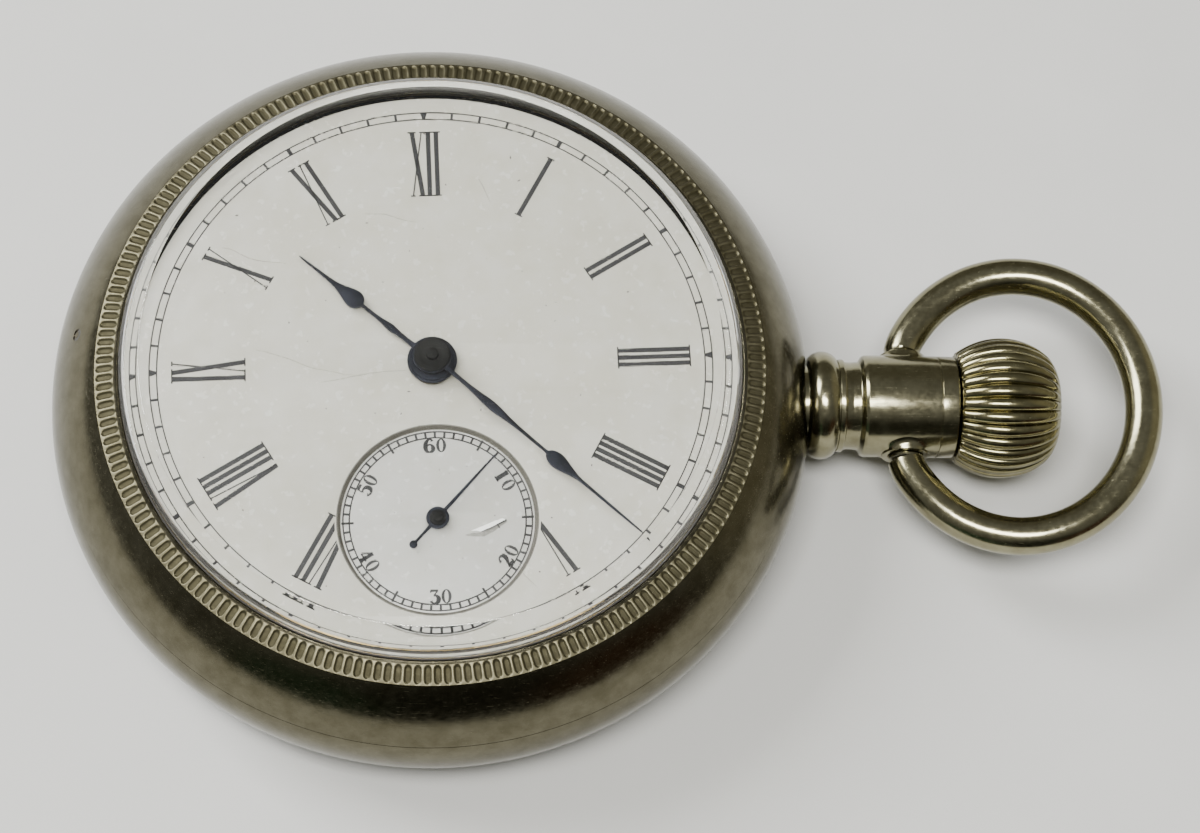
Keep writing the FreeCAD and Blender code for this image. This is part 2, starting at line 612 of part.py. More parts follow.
def pillar_plate(places):
    """The thick plate behind the dial."""
    low = size("pillar_plate_low")
    high = size("pillar_plate_high")
    blank = disc(size("plate_radius"), low, high)
    drilled = [(size("arbor_hole"), place) for place in jewel_places(places) + [places["balance"]]]
    drilled += [
        (size("center_arbor + running_gap"), places["center"]),
        (size("barrel_pivot + running_gap"), places["barrel"]),
        (size("stud_radius"), places["crown_wheel"]),
        (size("stud_radius") / 2, places["minute"]),
        (size("stud_radius") / 2, click_place(places)),
    ]
    drilled += [(size("screw_shank"), place) for place in pillar_places() + case_screw_places()]
    holes = [disc(radius, *THROUGH, place) for radius, place in drilled]
    for angle in FOOT_ANGLES:
        foot = polar(size("foot_circle"), angle)
        holes.append(disc(size("foot_radius + running_gap"), size("foot_low - 0.1"), high + 1, foot))
        holes.append(foot_screw(angle))
    made("pillar_plate", blank.cut(Part.Compound(holes)))


def foot_screw(angle):
    """A small screw that comes in from the plate's edge and grips a dial foot."""
    inner = size("foot_circle + foot_radius")
    start = polar(inner, angle) + Vector(0, 0, size("foot_low + 0.4"))
    long = size("plate_radius - 0.1") - inner
    return Part.makeCylinder(size("dial_screw_radius"), long, start, polar(1, angle))


def top_plate(places):
    """The plate on the back cover's side, drilled for its arbors and screws."""
    low = size("top_plate_low")
    blank = disc(size("top_plate_radius"), low, size("top_plate_high"))
    drilled = [(size("arbor_hole"), place) for place in jewel_places(places)]
    drilled += [
        (size("barrel_pivot + running_gap"), places["barrel"]),
        (size("pivot_radius + 0.2"), places["center"]),
        (size("staff_radius + 0.4"), places["balance"]),
    ]
    drilled += [(size("screw_shank"), place) for place in pillar_places()]
    holes = [disc(radius, *THROUGH, place) for radius, place in drilled]
    holes.append(disc(size("screw_shank"), low - 1, size("top_plate_high - 0.4"), cock_foot(places)))
    made("top_plate", blank.cut(Part.Compound(holes)))


def pillars():
    """Four turned pillars that hold the plates apart, each bored for its screw."""
    low = size("top_plate_high")
    high = size("pillar_plate_low")
    waist = (low + high) / 2
    wide = size("pillar_collar")
    narrow = size("pillar_waist")
    shapes = []
    for place in pillar_places():
        post = disc(size("pillar_radius - 0.3"), low, high, place)
        collars = [disc(size("pillar_radius"), *span, place)
                   for span in ((low, low + wide), (high - wide, high), (waist - narrow, waist + narrow))]
        shapes.append(bored(post.multiFuse(collars).removeSplitter(), size("screw_shank"), place))
    group("pillars", shapes)


def slotted_screw(place, shank, head, low, neck, high):
    """A screw whose head is on the low side, with its slot cut across."""
    shape = disc(head, low, neck, place).fuse(disc(shank, neck, high, place)).removeSplitter()
    wide = size("slot_wide")
    corner = Vector(place.x - head, place.y - wide / 2, low - 0.05)
    return shape.cut(Part.makeBox(2 * head, wide, size("slot_deep") + 0.05, corner))


def plate_screws():
    """The screws that go up through the pillars and hold both plates."""
    heights = (size("screw_head_low"), size("top_plate_low"), size("pillar_plate_high - 0.1"))
    group("plate_screws", [slotted_screw(place, size("screw_shank"), size("screw_head"), *heights)
                           for place in pillar_places()])


def case_screws():
    """Two screws whose heads reach under the case's ledge and hold the movement in."""
    heights = (size("case_screw_low"), size("ledge_low - 0.05"), size("pillar_plate_high - 0.1"))
    group("case_screws", [slotted_screw(place, size("screw_shank"), size("case_screw_head"), *heights)
                          for place in case_screw_places()])


def jewels(places):
    """Ring jewels in both plates for the fast arbors, and one for the balance staff."""
    outer = size("arbor_hole")
    hole = size("pivot_hole")
    wide_hole = size("post_radius - 0.03")
    upper = (size("pillar_plate_low + 0.1"), size("pillar_plate_low + 0.8"))
    lower = (size("top_plate_high - 0.8"), size("top_plate_high - 0.1"))
    shapes = [ring(outer, hole, *lower, place) for place in jewel_places(places)]
    shapes += [ring(outer, hole, *upper, places[name]) for name in ("third", "escape", "pallet", "balance")]
    shapes.append(ring(outer, wide_hole, *upper, places["fourth"]))
    group("plate_jewels", shapes)


# ---------------------------------------------------------------- barrel and going train

def barrel(places):
    """The mainspring barrel: toothed drum with its floor, its snapped-in cover and the spring."""
    place = places["barrel"]
    low = size("barrel_low")
    high = size("barrel_high")
    pivot = size("barrel_pivot + running_gap")
    teeth = toothed(TEETH["barrel"], size("barrel_module"), low, size("barrel_tooth_high"))
    drum = teeth.fuse(disc(size("barrel_drum"), low, high)).removeSplitter()
    drum = bored(drum.cut(disc(size("barrel_wall"), size("barrel_floor"), high + 1)), pivot)
    made("barrel", drum, place, gap_facing(TEETH["barrel"], size("barrel_angle") + 180))
    cover = ring(size("barrel_wall - 0.02"), pivot, size("barrel_cover_low"), high - 0.05)
    made("barrel_cover", cover, place)
    coil = spiral(size("barrel_core + 0.5"), size("barrel_wall - 0.35"), MAINSPRING_TURNS,
                  size("spring_thick"), size("spring_low"), size("spring_high"))
    made("mainspring", coil, place)


def barrel_arbor(places):
    """The arbor that winds the spring, with the ratchet wheel on its upper end."""
    core = disc(size("barrel_core"), size("spring_low - 0.02"), size("spring_high"))
    pivots = disc(size("barrel_pivot"), size("top_plate_low + 0.2"), size("pillar_plate_high - 0.2"))
    made("barrel_arbor", core.fuse(pivots).removeSplitter(), places["barrel"])
    wheel = toothed(TEETH["ratchet_wheel"], size("winding_module"), size("ratchet_low"),
                    size("ratchet_high"))
    angle = heading(places["barrel"], places["crown_wheel"])
    made("ratchet_wheel", bored(wheel, size("barrel_pivot")), places["barrel"], angle)


def arbor(pinion, module, leaf_low, leaf_high, upper):
    """A steel arbor with its leaves and its pivots; upper is the height of its upper pivot."""
    low = size("top_plate_high + shake")
    high = size("pillar_plate_low - shake")
    pivot = size("pivot_radius")
    leaves = toothed(TEETH[pinion], size(module), size(leaf_low), size(leaf_high), LEAF)
    pieces = [disc(size("arbor_radius"), low, high), disc(pivot, size("top_plate_low + 0.3"), low),
              disc(pivot, high, size(upper))]
    return leaves.multiFuse(pieces).removeSplitter()


def train_wheel(node, module, bore, place, turn):
    """A crossed wheel at the heights that the sheet gives it."""
    low = size(node + "_low")
    high = size(node + "_high")
    made(node, crossed_wheel(TEETH[node], size(module), low, high, size(bore)), place, turn)


def center_arbor(places):
    """The centre arbor runs up through the dial and carries the cannon pinion."""
    leaves = toothed(TEETH["center_pinion"], size("barrel_module"), size("barrel_low - 0.05"),
                     size("barrel_tooth_high + 0.4"), LEAF)
    start = size("top_plate_high + shake")
    shoulder = size("minute_hand_high - 0.1")
    shaft = [
        disc(size("center_arbor"), start, size("pillar_plate_high + 0.03")),
        disc(size("pivot_radius + 0.15"), size("top_plate_low + 0.2"), start),
        disc(size("cannon_inner"), size("pillar_plate_high"), shoulder),
        disc(size("post_radius"), shoulder, size("post_high")),
    ]
    center = places["center"]
    made("center_pinion", leaves.multiFuse(shaft).removeSplitter(), center, size("barrel_angle"))
    train_wheel("center_wheel", "center_module", "center_arbor", center, heading(center, places["third"]))


def third_arbor(places):
    third = places["third"]
    steel = arbor("third_pinion", "center_module", "center_wheel_low - 0.3", "center_wheel_high + 0.3",
                  "pillar_plate_high - 0.25")
    to_center = heading(places["center"], third) + 180
    made("third_pinion", steel, third, gap_facing(TEETH["third_pinion"], to_center))
    train_wheel("third_wheel", "third_module", "arbor_radius", third, heading(third, places["fourth"]))


def fourth_arbor(places):
    """The fourth arbor: its upper pivot is long and carries the seconds hand."""
    fourth = places["fourth"]
    lower = arbor("fourth_pinion", "third_module", "third_wheel_low - 0.2", "third_wheel_high + 0.3",
                  "seconds_hand_low")
    long_pivot = disc(size("post_radius - 0.06"), size("pillar_plate_low - shake"),
                      size("seconds_hand_high + 0.25"))
    to_third = heading(places["third"], fourth) + 180
    made("fourth_pinion", lower.fuse(long_pivot).removeSplitter(), fourth,
         gap_facing(TEETH["fourth_pinion"], to_third))
    train_wheel("fourth_wheel", "fourth_module", "arbor_radius", fourth, heading(fourth, places["escape"]))


def escape_arbor(places):
    escape = places["escape"]
    steel = arbor("escape_pinion", "fourth_module", "fourth_wheel_low - 0.2", "fourth_wheel_high + 0.3",
                  "pillar_plate_high - 0.25")
    to_fourth = heading(places["fourth"], escape) + 180
    made("escape_pinion", steel, escape, gap_facing(TEETH["escape_pinion"], to_fourth))
    turn = gap_facing(TEETH["escape_wheel"], heading(escape, places["pallet"]))
    made("escape_wheel", escape_wheel(), escape, turn)


def escape_wheel():
    """Fifteen hooked club teeth on a thin rim."""
    low = size("escape_low")
    high = size("escape_high")
    outer = size("escape_radius")
    inner = outer - size("escape_rim")
    count = TEETH["escape_wheel"]
    points = []
    for i in range(count):
        base = 360.0 * i / count
        points += [polar(inner, base - 7), polar(inner, base), polar(outer - 0.12, base + 3.6),
                   polar(outer, base + 6.4), polar(inner + 0.1, base + 4)]
    windows = crossings(size("escape_hub"), inner - 0.4, 4, 0.25, low, high)
    return bored(slab(points, low, high).cut(windows), size("arbor_radius"))


# ---------------------------------------------------------------- escapement and balance

def pallet_tips(places):
    """Where the two pallet stones meet the escape wheel, and their outward directions."""
    pallet, escape = places["pallet"], places["escape"]
    to_escape = heading(pallet, escape)
    reach = size("escape_radius") * math.tan(math.radians(PALLET_SPAN / 2))
    tips = [polar(reach, to_escape + PALLET_SPAN * side, pallet) for side in (-1, 1)]
    return [(tip, (tip - escape).normalize()) for tip in tips]


def pallet_fork(places):
    """The lever: two arms with pallet stones at the wheel, and a fork at the balance."""
    low = size("fork_low")
    high = size("fork_high")
    pallet, balance = places["pallet"], places["balance"]
    half = size("stone_half")
    stones = []
    arms = []
    for tip, outward in pallet_tips(places):
        foot = tip + outward * 0.12
        end = foot + outward * size("stone_long")
        stones.append(strip(foot, end, half, half, low + 0.05, high - 0.05))
        arms.append(strip(pallet, foot + outward * 0.35, 0.5, 0.32, low, high))
    to_balance = heading(pallet, balance)
    reach = (balance - pallet).Length - size("impulse_reach + 0.45")
    crotch = polar(reach, to_balance, pallet)
    lever = strip(pallet, crotch, 0.45, 0.3, low, high)
    horns = [strip(crotch, polar(reach + 0.42, to_balance + 11 * side, pallet), 0.2, 0.12, low, high)
             for side in (-1, 1)]
    body = arms[0].multiFuse([arms[1], lever] + horns).removeSplitter()
    made("pallet_fork", bored(body.cut(Part.Compound(stones)), size("arbor_radius"), pallet))
    group("pallet_stones", stones)
    shaft = disc(size("arbor_radius"), size("top_plate_high + shake"), size("pillar_plate_low - shake"))
    pivots = disc(size("pivot_radius"), size("top_plate_low + 0.3"), size("pillar_plate_high - 0.25"))
    made("pallet_arbor", shaft.fuse(pivots).removeSplitter(), pallet)


def timing_screw(angle):
    """A screw that stands out of the balance rim, which weights it and sets its rate."""
    outward = polar(1, angle)
    height = size("balance_low + balance_high") / 2
    start = outward * size("balance_rim - 0.4") + Vector(0, 0, height)
    neck = size("timing_head_long")
    shank = Part.makeCylinder(size("timing_shank"), size("timing_shank_long"), start, outward)
    head = Part.makeCylinder(size("timing_head"), neck, start + outward * neck, outward)
    return shank.fuse(head).removeSplitter()


def balance_wheel(places):
    """The balance rim and its arm, with timing screws all round."""
    place = places["balance"]
    low = size("balance_low")
    inner = size("balance_rim_inner")
    wide = size("arm_wide")
    thick = size("arm_thick")
    corner = Vector(-inner - 0.1, -wide / 2, low + 0.2)
    arm = Part.makeBox(2 * inner + 0.2, wide, thick, corner)
    hub = disc(size("balance_hub"), low + 0.2, low + 0.2 + thick)
    rim = ring(size("balance_rim"), inner, low, size("balance_high"))
    wheel = bored(rim.multiFuse([arm, hub]).removeSplitter(), size("staff_radius"))
    step = 360.0 / TIMING_SCREWS
    screws = Part.Compound([timing_screw((i + 0.5) * step) for i in range(TIMING_SCREWS)])
    made("balance_wheel", wheel.cut(screws), place, BALANCE_ARM_ANGLE)
    made("timing_screws", screws, place, BALANCE_ARM_ANGLE)


def balance_staff(places):
    """The staff with its fine pivots, and the roller whose pin drives the fork."""
    place = places["balance"]
    shaft = disc(size("staff_radius"), size("cock_high + 0.1"), size("pillar_plate_low - shake"))
    pivots = disc(size("pivot_radius"), size("cock_low + 0.15"), size("pillar_plate_high - 0.5"))
    made("balance_staff", shaft.fuse(pivots).removeSplitter(), place)
    low = size("roller_low")
    pin = disc(size("impulse_pin"), size("fork_low + 0.05"), low, ALONG * size("impulse_reach"))
    table = disc(size("roller_radius"), low, size("roller_high")).fuse(pin)
    turn = heading(place, places["pallet"])
    made("roller_table", bored(table, size("staff_radius")), place, turn)


def hairspring(places):
    low = size("hairspring_low")
    high = size("hairspring_high")
    collet = ring(size("collet_radius"), size("staff_radius"), low, high)
    coil = spiral(size("hairspring_inner"), size("hairspring_outer"), HAIRSPRING_TURNS,
                  size("hairspring_thick"), low, high)
    made("hairspring", collet.fuse(coil).removeSplitter(), places["balance"])


def cock_foot(places):
    return polar(size("cock_reach"), COCK_ANGLE, places["balance"])


def balance_cock(places):
    """The bridge over the balance, with its screw, its cap jewel and the hairspring stud."""
    place = places["balance"]
    foot = cock_foot(places)
    low = size("cock_low")
    high = size("cock_high")
    wide = size("cock_foot")
    arm = strip(foot, place, wide, size("cock_eye"), low, high)
    block = disc(wide, high, size("top_plate_low"), foot)
    body = arm.fuse(block).removeSplitter()
    stud_place = polar(size("hairspring_outer + stud_offset"), STUD_ANGLE, place)
    stud = disc(size("stud_pin"), low + 0.1, size("hairspring_high"), stud_place)
    screw = slotted_screw(foot, size("screw_shank"), size("screw_head"), low - 0.2, low + 0.2,
                          size("top_plate_low + 0.4"))
    jewel = size("cap_jewel")
    holes = Part.Compound([screw, stud, disc(jewel, *THROUGH, place)])
    made("balance_cock", body.cut(holes))
    made("cock_screw", screw)
    made("hairspring_stud", stud)
    made("balance_jewel", ring(jewel, size("pivot_hole"), low + 0.1, high, place))


def regulator(places):
    """The index that turns on the cock and points away from its foot."""
    place = places["balance"]
    low = size("regulator_low")
    high = size("cock_low - 0.02")
    start = polar(size("regulator_start"), COCK_ANGLE + 180, place)
    end = polar(size("regulator_reach"), COCK_ANGLE + 180, place)
    collar = ring(size("regulator_ring"), size("regulator_eye"), low, high, place)
    pointer = strip(start, end, size("regulator_wide"), size("regulator_tip"), low, high)
    made("regulator", collar.fuse(pointer).removeSplitter())


# ---------------------------------------------------------------- winding and setting

def winding_pinion():
    """The pinion on the stem, whose teeth drive the crown wheel's face teeth."""
    blank = toothed(TEETH["winding_pinion"], size("winding_module"), size("pinion_start"),
                    size("pinion_end"), LEAF)
    pinion = bored(blank, size("stem_radius"))
    pinion.rotate(Vector(), Vector(0, 1, 0), 90)
    pinion.translate(Vector(0, 0, size("pendant_axis")))
    made("winding_pinion", pinion)


def face_teeth():
    """Teeth that stand down from the crown wheel, one pinion pitch apart."""
    inner = size("face_tooth_inner")
    outer = size("face_tooth_outer")
    step = 360.0 / TEETH["face_teeth"]
    half = step * TOOTH[1]
    teeth = []
    for i in range(TEETH["face_teeth"]):
        middle = (i + 0.5) * step
        corners = [polar(inner, middle - half), polar(outer, middle - half * 0.9),
                   polar(outer, middle + half * 0.9), polar(inner, middle + half)]
        teeth.append(slab(corners, size("face_tooth_low"), size("crown_wheel_low")))
    return teeth


def crown_wheel(places):
    """The crown wheel between the winding pinion and the ratchet, on its shouldered screw."""
    place = places["crown_wheel"]
    low = size("crown_wheel_low")
    blank = toothed(TEETH["crown_wheel"], size("winding_module"), low, size("ratchet_high"))
    blank = blank.multiFuse(face_teeth()).removeSplitter()
    made("crown_wheel", bored(blank, size("stud_radius + running_gap")), place)
    screw = slotted_screw(place, size("stud_radius"), size("stud_head"), size("stud_head_low"),
                          low - 0.05, size("pillar_plate_high - 0.2"))
    made("crown_wheel_screw", screw)


def click_place(places):
    return polar(size("click_reach"), CLICK_ANGLE, places["barrel"])


def click(places):
    """The click that stops the ratchet wheel, its stud and the spring behind it."""
    pivot = click_place(places)
    low = size("ratchet_low")
    high = size("ratchet_high")
    stud = size("stud_radius") / 2
    tip_reach = (TEETH["ratchet_wheel"] / 2 + 0.75) * size("winding_module") + 0.2
    beak = polar(tip_reach, BEAK_ANGLE, places["barrel"])
    lever = strip(pivot, beak, size("click_wide"), size("click_tip"), low, high)
    made("click", bored(lever, stud + size("running_gap"), pivot))
    made("click_stud", slotted_screw(pivot, stud, size("click_wide"), low - 0.4, low - 0.05,
                                     size("pillar_plate_high - 0.2")))
    anchor = polar(size("click_spring_reach"), CLICK_SPRING_ANGLE, pivot)
    along = beak - pivot
    touch = pivot + along * 0.55 + Vector(-along.y, along.x, 0).normalize() * 0.95
    spring = strip(anchor, touch, size("click_spring_wide"), size("click_spring_tip"),
                   low + 0.15, high - 0.15)
    post = disc(size("click_spring_post"), low + 0.15, size("pillar_plate_low"), anchor)
    made("click_spring", spring.fuse(post).removeSplitter())


def stem_bearing():
    """The block between the plates that the stem runs in."""
    low = size("top_plate_high")
    half = size("bearing_wide")
    high = size("pillar_plate_low")
    corner = Vector(size("bearing_start"), -half, low)
    block = Part.makeBox(size("bearing_end - bearing_start"), 2 * half, high - low, corner)
    axis = Vector(0, 0, size("pendant_axis"))
    bore = Part.makeCylinder(size("stem_radius + running_gap"), THROUGH[1], axis, ALONG)
    made("stem_bearing", block.cut(bore))


def setting_lever():
    """The lever beside the dial that is pulled out to set the hands, with a nail hook at its end."""
    low = size("pillar_plate_high + 0.05")
    half = size("lever_half")
    inner, outer = (polar(size(reach), SETTING_LEVER_ANGLE) for reach in ("lever_start", "lever_end"))
    bar = strip(inner, outer, half, half, low, low + size("lever_thick"))
    sides = (SETTING_LEVER_ANGLE - HOOK_HALF_ANGLE, SETTING_LEVER_ANGLE + HOOK_HALF_ANGLE)
    start = size("hook_start")
    end = size("hook_end")
    corners = [polar(start, sides[0]), polar(end, sides[0]), polar(end, sides[1]), polar(start, sides[1])]
    hook = slab(corners, low, low + size("hook_high"))
    made("setting_lever", bar.fuse(hook).removeSplitter())


# ---------------------------------------------------------------- motion work

def cannon_pinion():
    """The pinion that grips the centre arbor and carries the minute hand."""
    low = size("minute_wheel_low")
    leaves = toothed(TEETH["cannon_pinion"], size("cannon_module"), low, size("minute_wheel_high"), LEAF)
    pipe = disc(size("cannon_outer"), low, size("minute_hand_low"))
    solid = leaves.fuse(pipe).removeSplitter()
    made("cannon_pinion", bored(solid, size("cannon_inner")), Vector(), MINUTE_WHEEL_ANGLE)


def minute_wheel(places):
    """The wheel and pinion that run on a stud and bring the motion down to the hour wheel."""
    minute = places["minute"]
    low = size("minute_wheel_low")
    high = size("minute_wheel_high")
    collar = size("minute_collar")
    stud = size("stud_radius") / 2
    turn = MINUTE_WHEEL_ANGLE + 180
    wheel = toothed(TEETH["minute_wheel"], size("cannon_module"), low, high)
    wheel = wheel.cut(crossings(size("minute_web"), size("minute_rim"), 4, size("minute_arm"), low, high))
    made("minute_wheel", bored(wheel, collar), minute, gap_facing(TEETH["minute_wheel"], turn))
    leaves = toothed(TEETH["minute_pinion"], size("hour_module"), high,
                     size("hour_wheel_high + 0.02"), LEAF)
    solid = leaves.fuse(disc(collar, low, high)).removeSplitter()
    made("minute_pinion", bored(solid, stud + size("running_gap")), minute, turn)
    made("minute_wheel_stud", disc(stud, size("pillar_plate_low + 0.2"), size("hour_wheel_high"), minute))


def hour_wheel():
    """The wheel whose pipe carries the hour hand, once round for every twelve of the minute hand."""
    low = size("hour_wheel_low")
    wheel = toothed(TEETH["hour_wheel"], size("hour_module"), low, size("hour_wheel_high"))
    pipe = disc(size("hour_pipe"), low, size("hour_hand_low"))
    solid = wheel.fuse(pipe).removeSplitter()
    turn = gap_facing(TEETH["hour_wheel"], MINUTE_WHEEL_ANGLE)
    made("hour_wheel", bored(solid, size("cannon_outer + running_gap")), Vector(), turn)


# ---------------------------------------------------------------- dial and hands

def dial(places):
    """The enamel dial with its sunk seconds disc, centre hole and three copper feet."""
    low = size("dial_low")
    high = size("dial_high")
    fourth = places["fourth"]
    plate = ring(size("dial_radius"), size("dial_hole"), low, high)
    made("dial", bored(plate, size("seconds_radius"), fourth))
    heights = (size("seconds_low"), size("seconds_high"))
    made("seconds_dial", ring(size("seconds_radius - 0.02"), size("seconds_hole"), *heights, fourth))
    feet = [polar(size("foot_circle"), angle) for angle in FOOT_ANGLES]
    group("dial_feet", [disc(size("foot_radius"), size("foot_low"), low, foot) for foot in feet])
    group("dial_screws", [foot_screw(angle) for angle in FOOT_ANGLES])


def hand_angle(node):
    """The direction of a hand, from +X."""
    return 90 + size("dial_turn") - HAND_ANGLES[node]


def spade_hand(node, hub, bore, length):
    """A spade hand lying along +X: hub, slender arm with a swelling, spade and fine point."""
    low = size(node + "_low")
    high = size(node + "_high")
    outline = HAND_OUTLINES[node]
    edge = [Vector(along, half, 0) for along, half in outline["arm"]]
    arm = slab(edge + [Vector(p.x, -p.y, 0) for p in reversed(edge)], low, high)
    side = [Vector(along, half, low) for along, half in outline["spade"]]
    curve = Part.BSplineCurve()
    curve.interpolate(side)
    upper = curve.toShape()
    lower = upper.mirror(Vector(), Vector(0, 1, 0))
    tip = Vector(length, 0, low)
    start = side[0]
    end = side[-1]
    lines = [Part.makeLine(end, tip), Part.makeLine(tip, Vector(end.x, -end.y, low)),
             Part.makeLine(start, Vector(start.x, -start.y, low))]
    spade = Part.Face(Part.Wire(Part.__sortEdges__([upper, lower] + lines)))
    blade = spade.extrude(Vector(0, 0, high - low))
    plate = arm.multiFuse([blade, disc(hub, low, high)]).removeSplitter()
    made(node, bored(plate, bore), Vector(), hand_angle(node))


def seconds_hand(places):
    """A needle with a round hub and a tail that ends in a ball."""
    low = size("seconds_hand_low")
    high = size("seconds_hand_high")
    wide = size("needle_start")
    tip = Vector(size("seconds_length - needle_tip"), 0, 0)
    end = Vector(-size("seconds_tail - tail_ball"), 0, 0)
    needle = strip(Vector(), tip, wide, size("needle_tip"), low, high)
    tail = strip(Vector(), end, wide, size("tail_tip"), low, high)
    ball = disc(size("tail_ball"), low, high, end)
    hub = disc(size("seconds_hub"), low, high)
    hand = bored(needle.multiFuse([tail, ball, hub]).removeSplitter(), size("post_radius - 0.06"))
    made("seconds_hand", hand, places["fourth"], hand_angle("seconds_hand"))


def hands(places):
    spade_hand("hour_hand", size("hour_hub"), size("cannon_outer + running_gap"), size("hour_length"))
    spade_hand("minute_hand", size("minute_hub"), size("cannon_inner"), size("minute_length"))
    seconds_hand(places)


# ---------------------------------------------------------------- the whole watch

def build():
    fill_sheet()
    places = arbor_places()
    case_center()
    bezel()
    crystal()
    back_cover()
    pendant()
    bow()
    crown()
    stem()
    pillar_plate(places)
    top_plate(places)
    pillars()
    plate_screws()
    case_screws()
    jewels(places)
    barrel(places)
    barrel_arbor(places)
    center_arbor(places)
    third_arbor(places)
    fourth_arbor(places)
    escape_arbor(places)
    pallet_fork(places)
    balance_wheel(places)
    balance_staff(places)
    hairspring(places)
    balance_cock(places)
    regulator(places)
    winding_pinion()
    crown_wheel(places)
    click(places)
    stem_bearing()
    setting_lever()
    cannon_pinion()
    minute_wheel(places)
    hour_wheel()
    dial(places)
    hands(places)
    return places


def check_and_write():
    """Stop on any failed object or unsound shape, then write one STEP file for each sub-part."""
    doc.recompute()
    for thing in doc.Objects:
        if {"Invalid", "Error"} & set(thing.State):
            raise SystemExit(f"{thing.Label} did not recompute: {thing.State}")
    for node in nodes:
        if node.Shape.isNull() or not node.Shape.isValid() or not node.Shape.Solids:
            raise SystemExit(f"{node.Label} has no sound shape")
    os.makedirs("parts", exist_ok=True)
    for node in nodes:
        node.Shape.exportStep(f"parts/{node.Label}.step")


places = build()
check_and_write()
print(len(nodes), "sub-parts")
for name, place in places.items():
    print(f"  {name} arbor at {place.x:.4f}, {place.y:.4f}")
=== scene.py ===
"""Looks of the open face pocket watch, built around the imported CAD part.

Sizes are written in millimetres in the CAD's own frame and turned into metres as meshes are made:
z = 0 is the flat back, +Z comes up out of the dial and +X runs out along the pendant.
"""
import json
import random
from math import asin, atan2, copysign, cos, hypot, pi, radians, sin, sqrt, tan

import bmesh
import bpy
from mathutils import Matrix, Vector


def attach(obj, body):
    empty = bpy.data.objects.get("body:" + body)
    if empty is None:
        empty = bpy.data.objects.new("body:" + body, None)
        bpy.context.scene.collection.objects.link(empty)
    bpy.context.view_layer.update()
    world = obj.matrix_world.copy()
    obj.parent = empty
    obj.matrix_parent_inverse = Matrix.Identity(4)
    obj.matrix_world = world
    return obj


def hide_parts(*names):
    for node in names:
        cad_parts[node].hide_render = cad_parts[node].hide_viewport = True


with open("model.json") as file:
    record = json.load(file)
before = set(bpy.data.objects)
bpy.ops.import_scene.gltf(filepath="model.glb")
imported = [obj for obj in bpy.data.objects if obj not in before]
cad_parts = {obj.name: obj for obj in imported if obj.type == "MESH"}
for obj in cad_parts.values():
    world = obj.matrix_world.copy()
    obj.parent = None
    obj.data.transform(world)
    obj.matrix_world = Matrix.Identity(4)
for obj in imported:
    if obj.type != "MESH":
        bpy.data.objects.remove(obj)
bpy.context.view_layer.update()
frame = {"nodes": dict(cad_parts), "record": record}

MM = 0.001
TURN = 2 * pi
RING_STEPS = 360
ON_AXIS = 1e-6
WELD = 1e-7

# Case
BAND_HIGH = 9.62
BAND_LOW = 4.02
SEAM_RADIUS = 28.37
SEAM_GAP = 0.04
FLANK = 6.82
SHOULDER = 10.83
REED_OUTER = 24.96
REED_OUTER_HIGH = 13.99
REED_INNER = 23.54
REED_INNER_HIGH = 14.41
REED_COUNT = 213
REED_DEPTH = 0.16
REED_HALF = 0.215

# Dial
DIAL_TOP = 12.95
DIAL_LOW = 12.1
DIAL_RADIUS = 22.25
DIAL_TURN = 3.04
INK_THICK = 0.02
SUBDIAL_REACH = 12.22
SUBDIAL_RADIUS = 7.3
SUBDIAL_TOP = 12.6
SUBDIAL_LOW = 12.05
SUBDIAL_STEPS = 240

# Pendant, bow and crown, which share one axis
PENDANT_AXIS = 6.39
BOW_PIVOT = 36.35
BOW_CENTRE = 45.12
BOW_HALF_WIDTH = 10.78
BOW_HALF_LENGTH = 9.72
BOW_LIFT = radians(6.0)
FLUTES = 30

# Dial angles, clockwise from 12
HOUR_ANGLE = 312.2
MINUTE_ANGLE = 134.3
SECOND_ANGLE = 42.8


# Outlines

def arc_between(start, end, radius, steps=24):
    """Points along an arc from start to end, turning left for a positive radius and right otherwise."""
    a, b = Vector(start), Vector(end)
    half = (b - a) / 2
    left = Vector((-half.y, half.x)).normalized()
    drop = sqrt(radius * radius - half.length_squared)
    centre = a + half + left * copysign(drop, radius)
    first = atan2(a.y - centre.y, a.x - centre.x)
    last = atan2(b.y - centre.y, b.x - centre.x)
    sweep = (last - first) % TURN if radius > 0 else -((first - last) % TURN)
    return [(centre.x + abs(radius) * cos(first + sweep * i / steps),
             centre.y + abs(radius) * sin(first + sweep * i / steps)) for i in range(steps + 1)]


def rounded(corners):
    """An open outline whose corners (a, b, radius) are rounded where they name a radius.

    A rounding takes at most the given share of the sides beside it.
    """
    out = []
    steps, most = 4, 0.45
    for i, corner in enumerate(corners):
        here = Vector(corner[:2])
        if len(corner) < 3 or i in (0, len(corners) - 1):
            out.append(tuple(here))
            continue
        before = Vector(corners[i - 1][:2]) - here
        after = Vector(corners[i + 1][:2]) - here
        angle = before.angle(after)
        reach = min(corner[2] / tan(angle / 2), before.length * most, after.length * most)
        start = here + before.normalized() * reach
        end = here + after.normalized() * reach
        for k in range(steps + 1):
            t = k / steps
            out.append(tuple(start * (1 - t) ** 2 + here * (2 * t * (1 - t)) + end * t * t))
    return out


def around(steps):
    """Equal angles all the way round."""
    return [TURN * i / steps for i in range(steps)]


def polar(radius, angle):
    return radius * cos(angle), radius * sin(angle)


def ease(low, high, value):
    """0 below low and 1 above high, with a smooth rise between."""
    t = min(1.0, max(0.0, (value - low) / (high - low)))
    return t * t * (3 - 2 * t)


